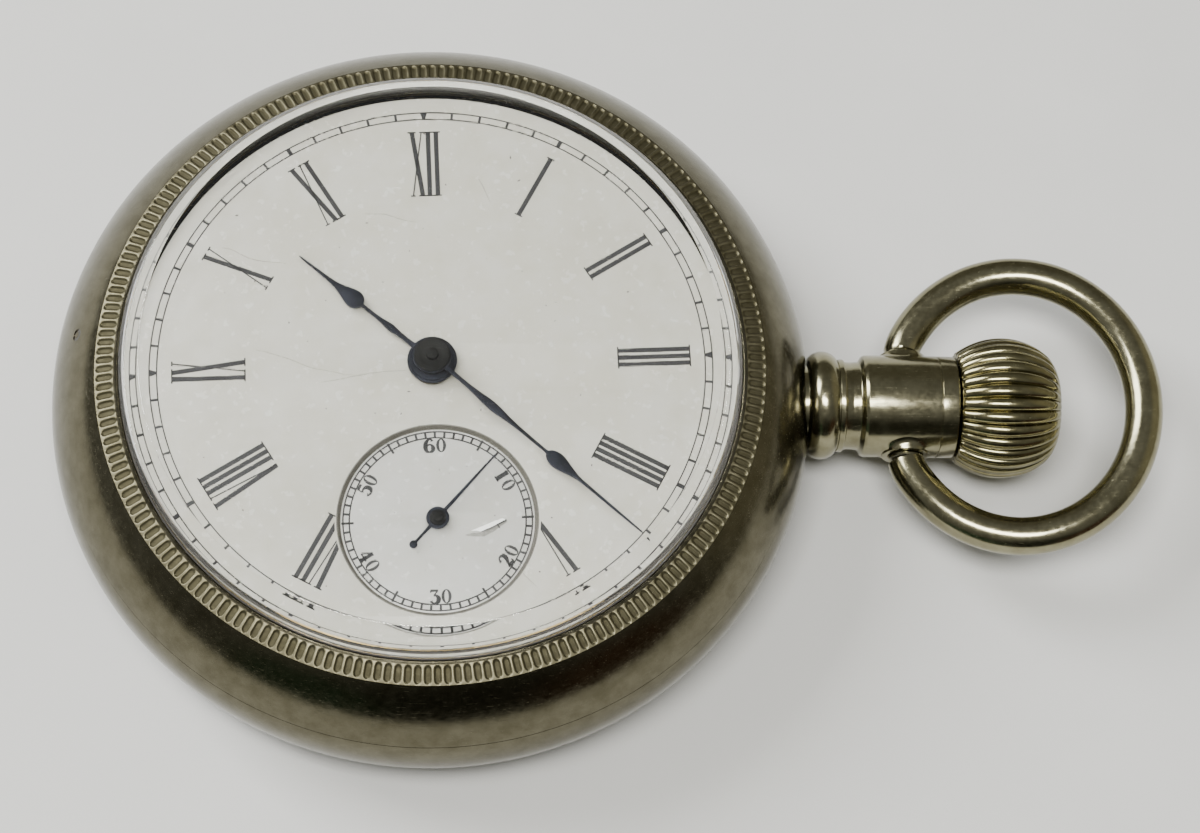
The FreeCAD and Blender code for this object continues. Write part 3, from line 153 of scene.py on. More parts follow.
def flow(points, steps=6):
    """A smooth line through points of any number of values each."""
    out = []
    last = len(points) - 1
    for i in range(last):
        p0, p1, p2, p3 = (points[max(0, min(last, i + k))] for k in (-1, 0, 1, 2))
        for s in range(steps):
            t = s / steps
            out.append(tuple(0.5 * (2 * b + (c - a) * t + (2 * a - 5 * b + 4 * c - d) * t * t
                                    + (3 * b - a - 3 * c + d) * t ** 3)
                             for a, b, c, d in zip(p0, p1, p2, p3)))
    return out + [tuple(points[-1])]


# Meshes

def rework(mesh, change):
    """Put a mesh through one bmesh change."""
    working = bmesh.new()
    working.from_mesh(mesh)
    change(working)
    working.to_mesh(mesh)
    working.free()


def stand(piece, material, body, replaced=(), sharp=32.0):
    """Shade a finished piece, give it its material and put it on its CAD body."""
    mesh = piece.data
    rework(mesh, lambda work: bmesh.ops.recalc_face_normals(work, faces=work.faces))
    mesh.shade_smooth()
    mesh.set_sharp_from_angle(angle=radians(sharp))
    mesh.materials.clear()
    mesh.materials.append(material)
    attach(piece, body)
    if replaced:
        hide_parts(*replaced)
    return piece


def put_in_scene(name, data):
    item = bpy.data.objects.new(name, data)
    bpy.context.scene.collection.objects.link(item)
    return item


def mesh_object(name, points, faces):
    """A piece from points in millimetres."""
    mesh = bpy.data.meshes.new(name)
    mesh.from_pydata([tuple(c * MM for c in p) for p in points], [], faces)
    mesh.update()
    return put_in_scene(name, mesh)


def skin(rows, closed_rows):
    """Points and faces over rows of points: a row of one point is a pole, the others are rings."""
    points = []
    starts = []
    for row in rows:
        starts.append((len(points), len(row)))
        points += row
    faces = []
    pairs = list(zip(starts, starts[1:] + starts[:1]))
    for (a, na), (b, nb) in pairs if closed_rows else pairs[:-1]:
        steps = max(na, nb)
        for i in range(steps):
            j = (i + 1) % steps
            corners = [a + (i if na > 1 else 0), a + (j if na > 1 else 0),
                       b + (j if nb > 1 else 0), b + (i if nb > 1 else 0)]
            faces.append(tuple(dict.fromkeys(corners)))
    return points, faces


def lathe(name, outline, about="Z", centre=(0, 0, 0), steps=RING_STEPS, closed=True, shape=None):
    """Turn an outline (radius, along) about Z or X; shape may change a radius by its angle."""
    rows = []
    angles = around(steps)
    for radius, along in outline:
        if radius < ON_AXIS:
            ring = [(0.0, 0.0)]
        else:
            reach = [shape(radius, along, a) if shape else radius for a in angles]
            ring = [polar(r, a) for r, a in zip(reach, angles)]
        if about == "Z":
            rows.append([(centre[0] + u, centre[1] + v, along) for u, v in ring])
        else:
            rows.append([(along, centre[1] + u, centre[2] + v) for u, v in ring])
    return mesh_object(name, *skin(rows, closed))


def drill(piece, *rods):
    """Take rods (radius, start, end), lying along X on the pendant's axis, out of a piece."""
    for radius, start, end in rods:
        outline = [(0, start), (radius, start), (radius, end), (0, end)]
        tool = lathe("drill", outline, "X", (0, 0, PENDANT_AXIS), 64, closed=False)
        cut = piece.modifiers.new("cut", "BOOLEAN")
        cut.operation = "DIFFERENCE"
        cut.solver = "EXACT"
        cut.object = tool
        graph = bpy.context.evaluated_depsgraph_get()
        mesh = bpy.data.meshes.new_from_object(piece.evaluated_get(graph))
        piece.modifiers.clear()
        piece.data = mesh
        bpy.data.objects.remove(tool)


def sheet_metal(name, loops, low, high, bevel):
    """A flat plate from closed loops, holes among them, with rounded edges."""
    curve = bpy.data.curves.new(name + "_outline", "CURVE")
    curve.dimensions = "2D"
    curve.fill_mode = "BOTH"
    curve.extrude = ((high - low) / 2 - bevel) * MM
    curve.bevel_depth = bevel * MM
    curve.bevel_resolution = 2
    curve.offset = -bevel * MM
    for loop in loops:
        spline = curve.splines.new("POLY")
        spline.points.add(len(loop) - 1)
        for point, (x, y) in zip(spline.points, loop):
            point.co = (x * MM, y * MM, 0, 1)
        spline.use_cyclic_u = True
    holder = bpy.data.objects.new(name + "_outline", curve)
    mesh = bpy.data.meshes.new_from_object(holder)
    bpy.data.objects.remove(holder)
    mesh.transform(Matrix.Translation((0, 0, (high + low) / 2 * MM)))
    rework(mesh, lambda work: bmesh.ops.remove_doubles(work, verts=work.verts, dist=WELD))
    return put_in_scene(name, mesh)


def circle(radius, centre=(0, 0), steps=RING_STEPS):
    return [(centre[0] + x, centre[1] + y) for x, y in (polar(radius, a) for a in around(steps))]


def level_ring(radius, height, centre=(0, 0), steps=RING_STEPS):
    return [(x, y, height) for x, y in circle(radius, centre, steps)]


# Procedural materials

class Graph:
    """A node tree, with short ways to add nodes and join them."""

    def __init__(self, tree):
        self.tree = tree

    def node(self, kind, inputs=(), **attributes):
        """A shader node whose inputs are linked where a socket is given, and set otherwise."""
        made = self.tree.nodes.new("ShaderNode" + kind)
        for name, value in attributes.items():
            setattr(made, name, value)
        for socket, value in dict(inputs).items():
            if isinstance(value, bpy.types.NodeSocket):
                self.tree.links.new(value, made.inputs[socket])
            else:
                made.inputs[socket].default_value = value
        return made

    def spread(self, value, low, high, out_low=0.0, out_high=1.0, kind="LINEAR"):
        """Map low..high onto out_low..out_high, held at both ends."""
        return self.node("MapRange", {
            "Value": value, "From Min": low, "From Max": high,
            "To Min": out_low, "To Max": out_high}, interpolation_type=kind).outputs[0]

    def maths(self, operation, *values):
        return self.node("Math", dict(enumerate(values)), operation=operation).outputs[0]

    def vector(self, operation, *values):
        return self.node("VectorMath", dict(enumerate(values)), operation=operation).outputs

    def add(self, value, other, share):
        """A value plus a share of another."""
        return self.maths("ADD", value, self.maths("MULTIPLY", other, share))

    def blend(self, amount, first, second):
        """A colour between two, each a colour or a socket."""
        first, second = (value if isinstance(value, bpy.types.NodeSocket) else (*value, 1)
                         for value in (first, second))
        return self.node("Mix", {0: amount, 6: first, 7: second}, data_type="RGBA").outputs[2]


class Look(Graph):
    """A material whose Principled shader is fed by textures laid out in the object's own metres."""

    def __init__(self, name, **settings):
        self.material = bpy.data.materials.new(name)
        self.material.use_nodes = True
        super().__init__(self.material.node_tree)
        self.shader = self.tree.nodes["Principled BSDF"]
        for socket, value in settings.items():
            self.shader.inputs[socket.replace("_", " ")].default_value = value
        self.coordinates = self.node("TexCoord").outputs["Object"]

    def noise(self, scale, stretch=(1, 1, 1), turn=(0, 0, 0), **inputs):
        place = self.node("Mapping", {
            "Vector": self.coordinates, "Rotation": turn, "Scale": [scale * s for s in stretch]})
        return self.node("TexNoise", {"Vector": place.outputs[0], **inputs}).outputs[0]

    def bump(self, height, depth, under=None):
        """Relief of the given depth in millimetres, on top of another relief."""
        inputs = {"Height": height, "Distance": depth * MM, "Strength": 1.0}
        if under is not None:
            inputs["Normal"] = under
        return self.node("Bump", inputs).outputs[0]

    def near(self, point, radius, soft):
        """1 within radius of a point, in millimetres, fading to 0 over soft."""
        away = self.vector("DISTANCE", self.coordinates, [c * MM for c in point])["Value"]
        return self.spread(away, radius * MM, (radius + soft) * MM, 1.0, 0.0)

    def finish(self, colour, roughness, normal=None):
        """Feed the shader and give back the material."""
        for socket, value in (("Base Color", colour), ("Roughness", roughness), ("Normal", normal)):
            if value is not None:
                self.tree.links.new(value, self.shader.inputs[socket])
        return self.material


SCRATCH_TURNS = ((0.2, 0.1, 0.5), (-0.1, 0.3, 1.9), (0.3, -0.2, -0.8))


def scratches(look, across, turns):
    """Fine straight scratches in several directions: 1 on a scratch and 0 elsewhere."""
    total = None
    for turn in turns:
        lines = look.noise(across, (0.02, 1, 1), turn, Detail=1.0)
        mask = look.spread(lines, 0.66, 0.74)
        total = mask if total is None else look.maths("MAXIMUM", total, mask)
    return total


def worn_metal(name, bright, dull, rough, relief=0.006, marks=(), slot_shade=False):
    """Handled metal: cloudy tarnish, fine scratches, faint waviness and small pits, and painted shade down in
    the reeding's slots where asked for.
    """
    look = Look(name, Metallic=1.0)
    clouds = look.noise(150, Detail=6.0, Roughness=0.6)
    smears = look.noise(420, (1, 1, 2.5), (0.4, 0.2, 0.3), Detail=5.0, Roughness=0.65)
    lines = scratches(look, 1900, SCRATCH_TURNS)
    freckles = look.spread(look.noise(1500, Detail=3.0, Roughness=0.7), 0.66, 0.78, 0.0, 0.3)
    colour = look.blend(look.spread(look.add(clouds, smears, 0.35), 0.5, 0.85), dull, bright)
    colour = look.blend(freckles, colour, tuple(c * 0.45 for c in dull))
    roughness = look.add(look.spread(smears, 0.3, 0.72, *rough), lines, 0.07)
    roughness = look.add(roughness, freckles, 0.2)
    normal = look.bump(look.noise(110, Detail=2.0), relief * 3.0)
    normal = look.bump(lines, -relief * 0.1, normal)
    normal = look.bump(look.noise(2600, Detail=2.0), relief * 0.05, normal)
    for point, radius in marks:
        spot = look.near(point, radius, 0.1)
        rim = look.maths("SUBTRACT", spot, look.near(point, radius * 0.4, 0.2))
        colour = look.blend(look.maths("MULTIPLY", spot, 0.6), colour, (0.1, 0.085, 0.05))
        colour = look.blend(look.maths("MULTIPLY", rim, 0.9), colour, (0.02, 0.016, 0.012))
        normal = look.bump(look.near(point, radius * 0.6, 0.25), -0.12, normal)
    if slot_shade:
        # Painted shade: the reeding's slots are darkened, and made rougher, to stand in for the shade down in
        # them.
        slot_shade_mask = reed_grime(look)
        colour = look.blend(look.maths("MULTIPLY", slot_shade_mask, 0.7), colour, (0.05, 0.045, 0.025))
        roughness = look.add(roughness, slot_shade_mask, 0.2)
    return look.finish(colour, roughness, normal)


def reed_grime(look):
    """1 down in the slots of the reeding, where the metal is painted dark as painted shade, and 0 on the
    ridges and both rims.
    """
    turn = look.node("TexGradient", {"Vector": look.coordinates}, gradient_type="RADIAL").outputs[1]
    place = look.maths("PINGPONG", look.maths("MULTIPLY_ADD", turn, REED_COUNT, 0.5), 0.5)
    pitch = TURN * (REED_INNER + REED_OUTER) / 2 / REED_COUNT
    slot = look.spread(place, REED_HALF * 0.8 / pitch, REED_HALF * 1.2 / pitch, 1.0, 0.0)
    flat = look.vector("MULTIPLY", look.coordinates, (1, 1, 0))[0]
    radius = look.vector("LENGTH", flat)["Value"]
    inner = look.spread(radius, (REED_INNER + 0.06) * MM, (REED_INNER + 0.2) * MM)
    outer = look.spread(radius, (REED_OUTER - 0.24) * MM, (REED_OUTER - 0.12) * MM, 1.0, 0.0)
    return look.maths("MULTIPLY", slot, look.maths("MULTIPLY", inner, outer))


def enamel(name, pale, warm):
    """Fired enamel: glossy and faintly cloudy, with a very slight unevenness."""
    look = Look(name, Coat_Weight=0.35, Coat_Roughness=0.06, IOR=1.52)
    clouds = look.noise(85, Detail=4.0, Roughness=0.55)
    flecks = look.spread(look.noise(1400, Detail=4.0, Roughness=0.7), 0.72, 0.82, 0.0, 0.1)
    colour = look.blend(look.spread(clouds, 0.35, 0.68), pale, warm)
    return look.finish(look.blend(flecks, colour, (0.2, 0.185, 0.15)),
                       look.spread(look.noise(300, Detail=3.0), 0.3, 0.7, 0.24, 0.28),
                       look.bump(look.noise(240, Detail=1.0), 0.004))


def ink(name, colour, rough=0.42):
    """Fired printing, a little uneven in its density; the same look also colours the cracks, the specks and
    the painted shade and shadow marks.
    """
    look = Look(name, Specular_IOR_Level=0.3)
    density = look.spread(look.noise(2400, Detail=3.0), 0.45, 0.85)
    thin = tuple(c * 2.0 + 0.006 for c in colour)
    return look.finish(look.blend(density, colour, thin), look.spread(density, 0.0, 1.0, rough, rough + 0.12))


def crystal_glass(name):
    """Thick clear glass that lets the lamps reach the dial, with hair scratches on its surface."""
    look = Look(name, Transmission_Weight=1.0, IOR=1.5, Base_Color=(0.985, 0.99, 0.985, 1))
    lines = scratches(look, 1500, SCRATCH_TURNS[:2])
    look.finish(None, look.spread(lines, 0.0, 1.0, 0.0, 0.1), look.bump(lines, -0.0008))
    shadow = look.node("LightPath").outputs["Is Shadow Ray"]
    clear = look.node("BsdfTransparent", {"Color": (0.95, 0.955, 0.95, 1)}).outputs[0]
    mix = look.node("MixShader", {0: shadow, 1: look.shader.outputs[0], 2: clear})
    look.tree.links.new(mix.outputs[0], look.tree.nodes["Material Output"].inputs["Surface"])
    return look.material


def brushed(name, bright, dull, rough, grain=(1, 26, 26)):
    """A machined movement part: fine grain one way, with a few darker spots of age."""
    look = Look(name, Metallic=1.0)
    lines = look.noise(900, grain, (0, 0, 0.7), Detail=3.0)
    clouds = look.noise(260, Detail=4.0, Roughness=0.6)
    return look.finish(look.blend(look.spread(clouds, 0.32, 0.66), dull, bright),
                       look.spread(lines, 0.3, 0.7, *rough), look.bump(lines, 0.002))


def ruby(name):
    """Synthetic ruby, as the movement's jewels are made of."""
    look = Look(name, Transmission_Weight=0.55, IOR=1.76, Coat_Weight=0.3)
    clouds = look.noise(1800, Detail=2.0)
    return look.finish(look.blend(look.spread(clouds, 0.3, 0.7), (0.42, 0.012, 0.05), (0.62, 0.03, 0.09)),
                       look.spread(clouds, 0.3, 0.7, 0.05, 0.14))


PIT = (-26.6, 2.4, 12.25)
case_look = worn_metal("nickel_silver", (0.14, 0.129, 0.088), (0.098, 0.089, 0.056), (0.13, 0.27),
                       marks=((PIT, 0.42),))
# The reeding's metal, with painted shade darkening its slots.
reed_look = worn_metal("nickel_silver_reeding", (0.17, 0.157, 0.1), (0.12, 0.109, 0.064), (0.36, 0.54),
                       slot_shade=True)
# Painted light: the pendant, its bosses and the bow get a lighter copy of the case's nickel silver, lightened
# to make up for the light they get.
pendant_lightened_look = worn_metal("pendant_silver_lightened", (0.315, 0.297, 0.192), (0.232, 0.215, 0.132), (0.13, 0.24))
crown_look = worn_metal("crown_brass", (0.29, 0.268, 0.155), (0.2, 0.181, 0.096), (0.12, 0.24))
dial_look = enamel("dial_enamel", (0.298, 0.291, 0.257), (0.274, 0.264, 0.223))
seconds_look = enamel("seconds_enamel", (0.285, 0.283, 0.265), (0.268, 0.264, 0.24))
# Painted highlight: a much lighter copy of the enamel for the lifted flake.
flake_highlight_look = enamel("lifted_enamel_highlight", (0.6, 0.6, 0.58), (0.56, 0.55, 0.53))
# Painted shade: a black ring in the crystal's seat, standing in for the dark bezel wall seen through the
# glass.
seat_shade_look = ink("crystal_seat_shade", (0.03, 0.027, 0.023), 0.7)
ink_look = ink("dial_ink", (0.006, 0.006, 0.0065))
crack_look = ink("hairline_crack", (0.13, 0.12, 0.1), 0.5)
speck_look = ink("dial_speck", (0.05, 0.044, 0.036), 0.6)
edge_and_shadow_look = ink("sunk_edge", (0.05, 0.047, 0.038), 0.45)
shade_look = ink("chip_shade", (0.12, 0.117, 0.105), 0.55)
glass_look = crystal_glass("crystal_glass")
hand_look = worn_metal("blued_steel", (0.017, 0.0185, 0.025), (0.009, 0.0095, 0.012), (0.38, 0.54), 0.002)
hub_look = worn_metal("hub_steel", (0.014, 0.014, 0.0135), (0.006, 0.006, 0.0055), (0.6, 0.75), 0.003)

SLOT_LOOKS = {
    "case_metal": case_look,
    "crown_metal": crown_look,
    "crystal_glass": glass_look,
    "enamel": dial_look,
    "copper": brushed("dial_copper", (0.60, 0.30, 0.17), (0.34, 0.15, 0.08), (0.25, 0.45)),
    "blued_steel": hand_look,
    "gilt_brass": brushed("gilt_brass", (0.78, 0.60, 0.29), (0.62, 0.44, 0.18), (0.28, 0.42), (1, 6, 6)),
    "wheel_brass": brushed("wheel_brass", (0.77, 0.62, 0.31), (0.58, 0.44, 0.19), (0.16, 0.3)),
    "steel": brushed("polished_steel", (0.56, 0.56, 0.55), (0.38, 0.375, 0.365), (0.14, 0.3)),
    "ruby": ruby("ruby"),
}
for part in frame["record"]["subparts"]:
    mesh = frame["nodes"][part["node"]].data
    mesh.materials.clear()
    mesh.materials.append(SLOT_LOOKS[part["material_slot"]])


# Case pieces

def threads(radius, low, high, depth, inward):
    """The saw-tooth outline of a fine screw thread, from low to high, cut inward or outward."""
    turns = 6
    pitch = (high - low) / turns
    side = -depth if inward else depth
    out = []
    for i in range(turns):
        out += [(radius, low + pitch * (i + 0.1)), (radius + side, low + pitch * (i + 0.55))]
    return out + [(radius, high)]


def case_band():
    neck, neck_high, neck_inner = 25.6, 11.95, 24.7
    back_neck, back_low, back_inner = 26.2, 1.95, 25.2
    step = BAND_LOW + 0.85
    outline = arc_between((SEAM_RADIUS, BAND_LOW + 0.05), (SEAM_RADIUS, BAND_HIGH - 0.05), FLANK, 30)
    outline[0] = (SEAM_RADIUS - 0.01, BAND_LOW + 0.06)
    outline += [(SEAM_RADIUS - 0.08, BAND_HIGH), (neck, BAND_HIGH)]
    outline += threads(neck, BAND_HIGH + 0.5, neck_high - 0.15, 0.09, True)
    outline += rounded([
        (neck, BAND_HIGH + 2.2), (neck, neck_high, 0.08), (neck_inner, neck_high, 0.08), (neck_inner, 11.18),
        (22.5, 11.18, 0.06), (22.5, 9.63), (21.9, 9.63, 0.06), (21.9, 8.75, 0.06), (26.9, 8.75), (26.9, step),
        (back_inner, step), (back_inner, back_low, 0.08), (back_neck, back_low, 0.08)])
    outline += threads(back_neck, back_low + 0.2, BAND_LOW - 0.3, 0.09, True)
    outline += [(back_neck, BAND_LOW), (SEAM_RADIUS - 0.08, BAND_LOW)]
    piece = lathe("case_band", outline)
    stem_hole, collar_seat = (2.32, 25.9, 30.4), (3.55, 28.43, 31.3)
    drill(piece, stem_hole, collar_seat)
    stand(piece, case_look, "case", ["case_center"])


def reed_height(radius):
    share = (radius - REED_INNER) / (REED_OUTER - REED_INNER)
    bow = 0.05 * 4 * share * (1 - share)
    return REED_INNER_HIGH + (REED_OUTER_HIGH - REED_INNER_HIGH) * share + bow


def bezel_ring():
    low = BAND_HIGH + SEAM_GAP
    floor_drop = 0.42
    bore = 25.67
    outline = arc_between((SEAM_RADIUS, low + 0.05), (REED_OUTER + 0.02, REED_OUTER_HIGH), SHOULDER, 40)
    outline += [(REED_OUTER, REED_OUTER_HIGH - 0.03), (REED_OUTER, REED_OUTER_HIGH - floor_drop),
                (REED_INNER, REED_INNER_HIGH - floor_drop), (REED_INNER, REED_INNER_HIGH - 0.02)]
    outline += rounded([
        (REED_INNER, REED_INNER_HIGH - 0.01), (REED_INNER - 0.1, REED_INNER_HIGH, 0.05),
        (23.28, REED_INNER_HIGH, 0.06), (23.16, 14.26, 0.05), (23.16, 13.9, 0.04), (23.6, 13.8),
        (23.6, 13.15), (22.6, 13.15, 0.05), (22.6, 12.75, 0.05), (24.3, 12.75), (24.3, 12.1, 0.05),
        (bore, 12.1)])
    outline += list(reversed(threads(bore, low + 0.4, 11.9, 0.07, False)))
    outline += [(bore, low), (SEAM_RADIUS - 0.1, low)]
    stand(lathe("bezel_ring", outline), case_look, "bezel", ["bezel"])


def reed_depth(radius, angle):
    """How far the reeding is sunk: a flat-bottomed slot with round ends in each pitch."""
    pitch = TURN / REED_COUNT
    off = ((angle + pitch / 2) % pitch - pitch / 2) * radius
    lowest, highest = REED_INNER + 0.3, REED_OUTER - 0.36
    along = max(lowest - radius, 0.0, radius - highest)
    away = hypot(off, along)
    return REED_DEPTH * (1 - ease(REED_HALF * 0.75, REED_HALF * 1.25, away))


def bezel_reeding():
    across, thick, angles = 18, 0.4, around(REED_COUNT * 12)

    def row(radius, depth):
        height = reed_height(radius)
        return [(*polar(radius, a), height - depth(radius, a)) for a in angles]

    rows = [row(REED_INNER + (REED_OUTER - REED_INNER) * i / across, reed_depth) for i in range(across + 1)]
    rows += [row(radius, lambda *at: thick) for radius in (REED_OUTER, REED_INNER)]
    piece = mesh_object("bezel_reeding", *skin(rows, True))
    stand(piece, reed_look, "bezel", sharp=60.0)


def crystal():
    """Thick flat glass with a wide bevel, whose edge shows the dial a second time."""
    rest, wall, edge, bevel_low, low, high = 22.6, 23.04, 21.46, 15.45, 15.3, 17.0
    outline = rounded([
        (0, high), (edge, high, 0.1), (wall, bevel_low, 0.12), (wall, 13.85, 0.05), (23.5, 13.68, 0.05),
        (23.5, 13.22), (rest, 13.22), (rest, low, 0.4), (0, low)])
    stand(lathe("crystal_glass", outline, closed=False), glass_look, "bezel", ["crystal"],
          sharp=20.0)
    # Painted shade: a black ring in the crystal's seat darkens the bezel's inner wall where it is seen
    # through the glass.
    seat_shade_ring = [(22.62, 13.155), (23.58, 13.155), (23.58, 13.79), (23.13, 13.9), (23.15, 14.3), (23.06, 14.33),
              (23.06, 13.88), (23.515, 13.74), (23.515, 13.2), (22.62, 13.2)]
    stand(lathe("crystal_seat_shade", seat_shade_ring), seat_shade_look, "bezel")


def back_cover():
    high = BAND_LOW - SEAM_GAP
    outline = [(0, 0), (12.0, 0)] + arc_between((22.16, 0), (SEAM_RADIUS, high - 0.06), FLANK, 36)
    outline += [(SEAM_RADIUS - 0.09, high), (26.27, high)]
    outline += [(26.27, 1.8), (25.2, 1.8)] + arc_between((25.2, 1.8), (22.16, 0.6), -6.22, 14)[1:]
    outline += [(12.0, 0.6), (0, 0.6)]
    stand(lathe("back_shell", outline, closed=False), case_look, "back_cover", ["back_cover"])


# Pendant, bow and crown pieces

def on_axis(pairs):
    """Outline points (along, radius, corner) as the lathe's (radius, along, corner)."""
    return [(p[1], p[0], *p[2:]) for p in pairs]


def pendant():
    collar = arc_between((28.95, 3.78), (30.95, 3.74), -1.4, 18)
    outline = rounded(on_axis([
        (27.1, 1.3), (27.1, 2.3), (28.43, 2.3), (28.43, 3.05), (28.8, 3.05, 0.1), (28.86, 3.66, 0.06)]))
    outline += [(r, x) for x, r in collar]
    outline += rounded(on_axis([
        (30.98, 3.6), (31.0, 3.43, 0.05), (31.1, 3.43), (31.13, 3.56, 0.04), (31.45, 3.61, 0.1),
        (31.58, 3.56, 0.05), (31.62, 3.42, 0.05), (32.1, 3.36, 0.5), (32.76, 3.42, 0.2), (33.02, 3.84, 0.1),
        (33.25, 3.94, 0.1), (38.79, 3.94, 0.03), (38.81, 3.85), (38.9, 3.85), (38.92, 3.94, 0.03),
        (40.2, 3.92, 0.14), (40.2, 2.05, 0.1), (34.9, 2.05), (34.9, 1.3)]))
    stand(lathe("pendant_body", outline, "X", (0, 0, PENDANT_AXIS), 160), pendant_lightened_look, "case",
          ["pendant"])
    for side, name in ((1, "left"), (-1, "right")):
        boss(side, "pendant_boss_" + name)


def boss(side, name):
    """A short round socket for the bow, flowing out of the pendant's barrel with a small fillet."""
    barrel, top, radius, bore, low = 3.92, 4.12, 1.8, 0.85, 3.05

    def row(reach, height):
        """A ring about the bow's pivot; height is its distance from the pendant's axis at each z."""
        return [(BOW_PIVOT + x, side * height(z), PENDANT_AXIS + z) for x, z in circle(reach, steps=72)]

    fillet = [(radius + 0.5, 0.0), (radius + 0.26, 0.04), (radius + 0.1, 0.14), (radius + 0.02, 0.32)]
    rows = [row(reach, lambda z: min(sqrt(barrel ** 2 - z * z) + lift, top - 0.18))
            for reach, lift in fillet]
    face = [(radius, top - 0.1), (radius - 0.03, top - 0.03), (radius - 0.1, top), (bore + 0.1, top),
            (bore, top - 0.1), (bore, top - 1.0), (bore, low), (radius + 0.5, low)]
    rows += [row(reach, lambda z: height) for reach, height in face]
    stand(mesh_object(name, *skin(rows, True)), pendant_lightened_look, "case")


def bow_path():
    """Centre line and radius of the bow's wire in its own plane, from one socket to the other."""
    thick, thin, reach = 1.45, 1.4, 3.0
    open_turn = radians(143)

    def oval(turn):
        return Vector((BOW_CENTRE + BOW_HALF_LENGTH * cos(turn), BOW_HALF_WIDTH * sin(turn)))

    start = oval(open_turn)
    inward = (oval(open_turn + 0.01) - start).normalized()
    end = Vector((BOW_PIVOT, 4.2))
    bend = [start, start + inward * 0.9, end + Vector((0.1, 0.9)), end]
    side = []
    bend_steps, hoop_steps = 24, 120
    for k in range(bend_steps + 1):
        t = 1 - k / bend_steps
        a, b, c, d = (1 - t) ** 3, 3 * t * (1 - t) ** 2, 3 * t * t * (1 - t), t ** 3
        side.append(bend[0] * a + bend[1] * b + bend[2] * c + bend[3] * d)
    hoop = [oval(open_turn * (1 - 2 * i / hoop_steps)) for i in range(1, hoop_steps)]
    line = side + hoop + [Vector((p.x, -p.y)) for p in reversed(side)]
    out = []
    for p in line:
        away = min((p - end).length, (p - Vector((end.x, -end.y))).length)
        out.append((p, thin + (thick - thin) * ease(0, reach, away)))
    return out


def bow():
    steps, clear_of_socket = 40, 4.45
    line = bow_path()

    def ring(centre, across, radius):
        return [centre + (across * cos(a) + Vector((0, 0, 1)) * sin(a)) * radius
                for a in around(steps)]

    def end_rows(sign, radius):
        """The wire's rounded end and the pin that goes into the socket, from the tip outward."""
        across = Vector((sign, 0, 0))
        levels = [(3.1, 0.7), (3.12, 0.8), (4.17, 0.8), (4.18, radius - 0.08), (4.2, radius - 0.02),
                  (4.26, radius - 0.01), (4.4, radius - 0.08)]
        return [[Vector((BOW_PIVOT, sign * 3.1, 0))]] + [
            ring(Vector((BOW_PIVOT, sign * y, 0)), across, r) for y, r in levels]

    rows = end_rows(1, line[0][1])
    for i, (point, radius) in enumerate(line):
        ahead = line[min(i + 1, len(line) - 1)][0] - line[max(i - 1, 0)][0]
        ahead = Vector((0, 1)) if i == 0 else Vector((0, -1)) if i == len(line) - 1 else ahead.normalized()
        across = Vector((ahead.y, -ahead.x, 0))
        centre = Vector((point.x, point.y, 0))
        if abs(point.y) > clear_of_socket or point.x > BOW_CENTRE:
            rows.append(ring(centre, across, radius))
    rows += list(reversed(end_rows(-1, line[-1][1])))
    tilt = Matrix.Rotation(-BOW_LIFT, 3, "Y")
    pivot = Vector((BOW_PIVOT, 0, 0))
    placed = [[tuple(tilt @ (p - pivot) + pivot + Vector((0, 0, PENDANT_AXIS))) for p in row]
              for row in rows]
    stand(mesh_object("bow_ring", *skin(placed, False)), pendant_lightened_look, "bow", ["bow"])


def crown():
    """Onion crown with rounded lobes that run over its shoulder and die out on the nose."""
    start, end, back, sleeve = 40.3, 48.45, 4.4, 2.0
    body = arc_between((start + 0.3, back), (46.7, 4.69), -5.7, 22)
    nose = flow([body[-1], (47.55, 4.0), (48.12, 3.0), (48.36, 1.9), (48.43, 1.2), (end, 0.5)], 5)
    outline = [(0.8, 35.1), (sleeve - 0.1, 35.1), (sleeve, 35.2), (sleeve, start), (back - 0.75, start),
               (back - 0.4, start + 0.03), (back - 0.12, start + 0.12)]
    outline += [(r, x) for x, r in body + nose[1:]] + [(0, end)]
    outline = [(0, 47.3), (0.8, 47.2)] + outline

    def lobes(radius, along, angle):
        """The radius at an angle: a round ridge on each flute, deepest on the shoulder."""
        tip, deepest, share = 0.5, 0.42, 0.985
        if along < start or radius < tip:
            return radius
        depth = deepest * ease(tip, 2.8, radius) * ease(start - 0.2, start + 0.4, along)
        across = share * (1 - 2 * abs((angle * FLUTES / TURN) % 1 - 0.5))
        return radius - depth * (1 - sqrt(1 - across ** 2))

    piece = lathe("crown_head", outline, "X", (0, 0, PENDANT_AXIS), FLUTES * 16, False, lobes)
    stand(piece, crown_look, "crown", ["crown"], sharp=50.0)


# Dial pieces

def direction(angle):
    """Unit vector in plan for a dial angle, clockwise from 12."""
    turn = radians(90 + DIAL_TURN - angle)
    return Vector((cos(turn), sin(turn)))


SUBDIAL = direction(180) * SUBDIAL_REACH


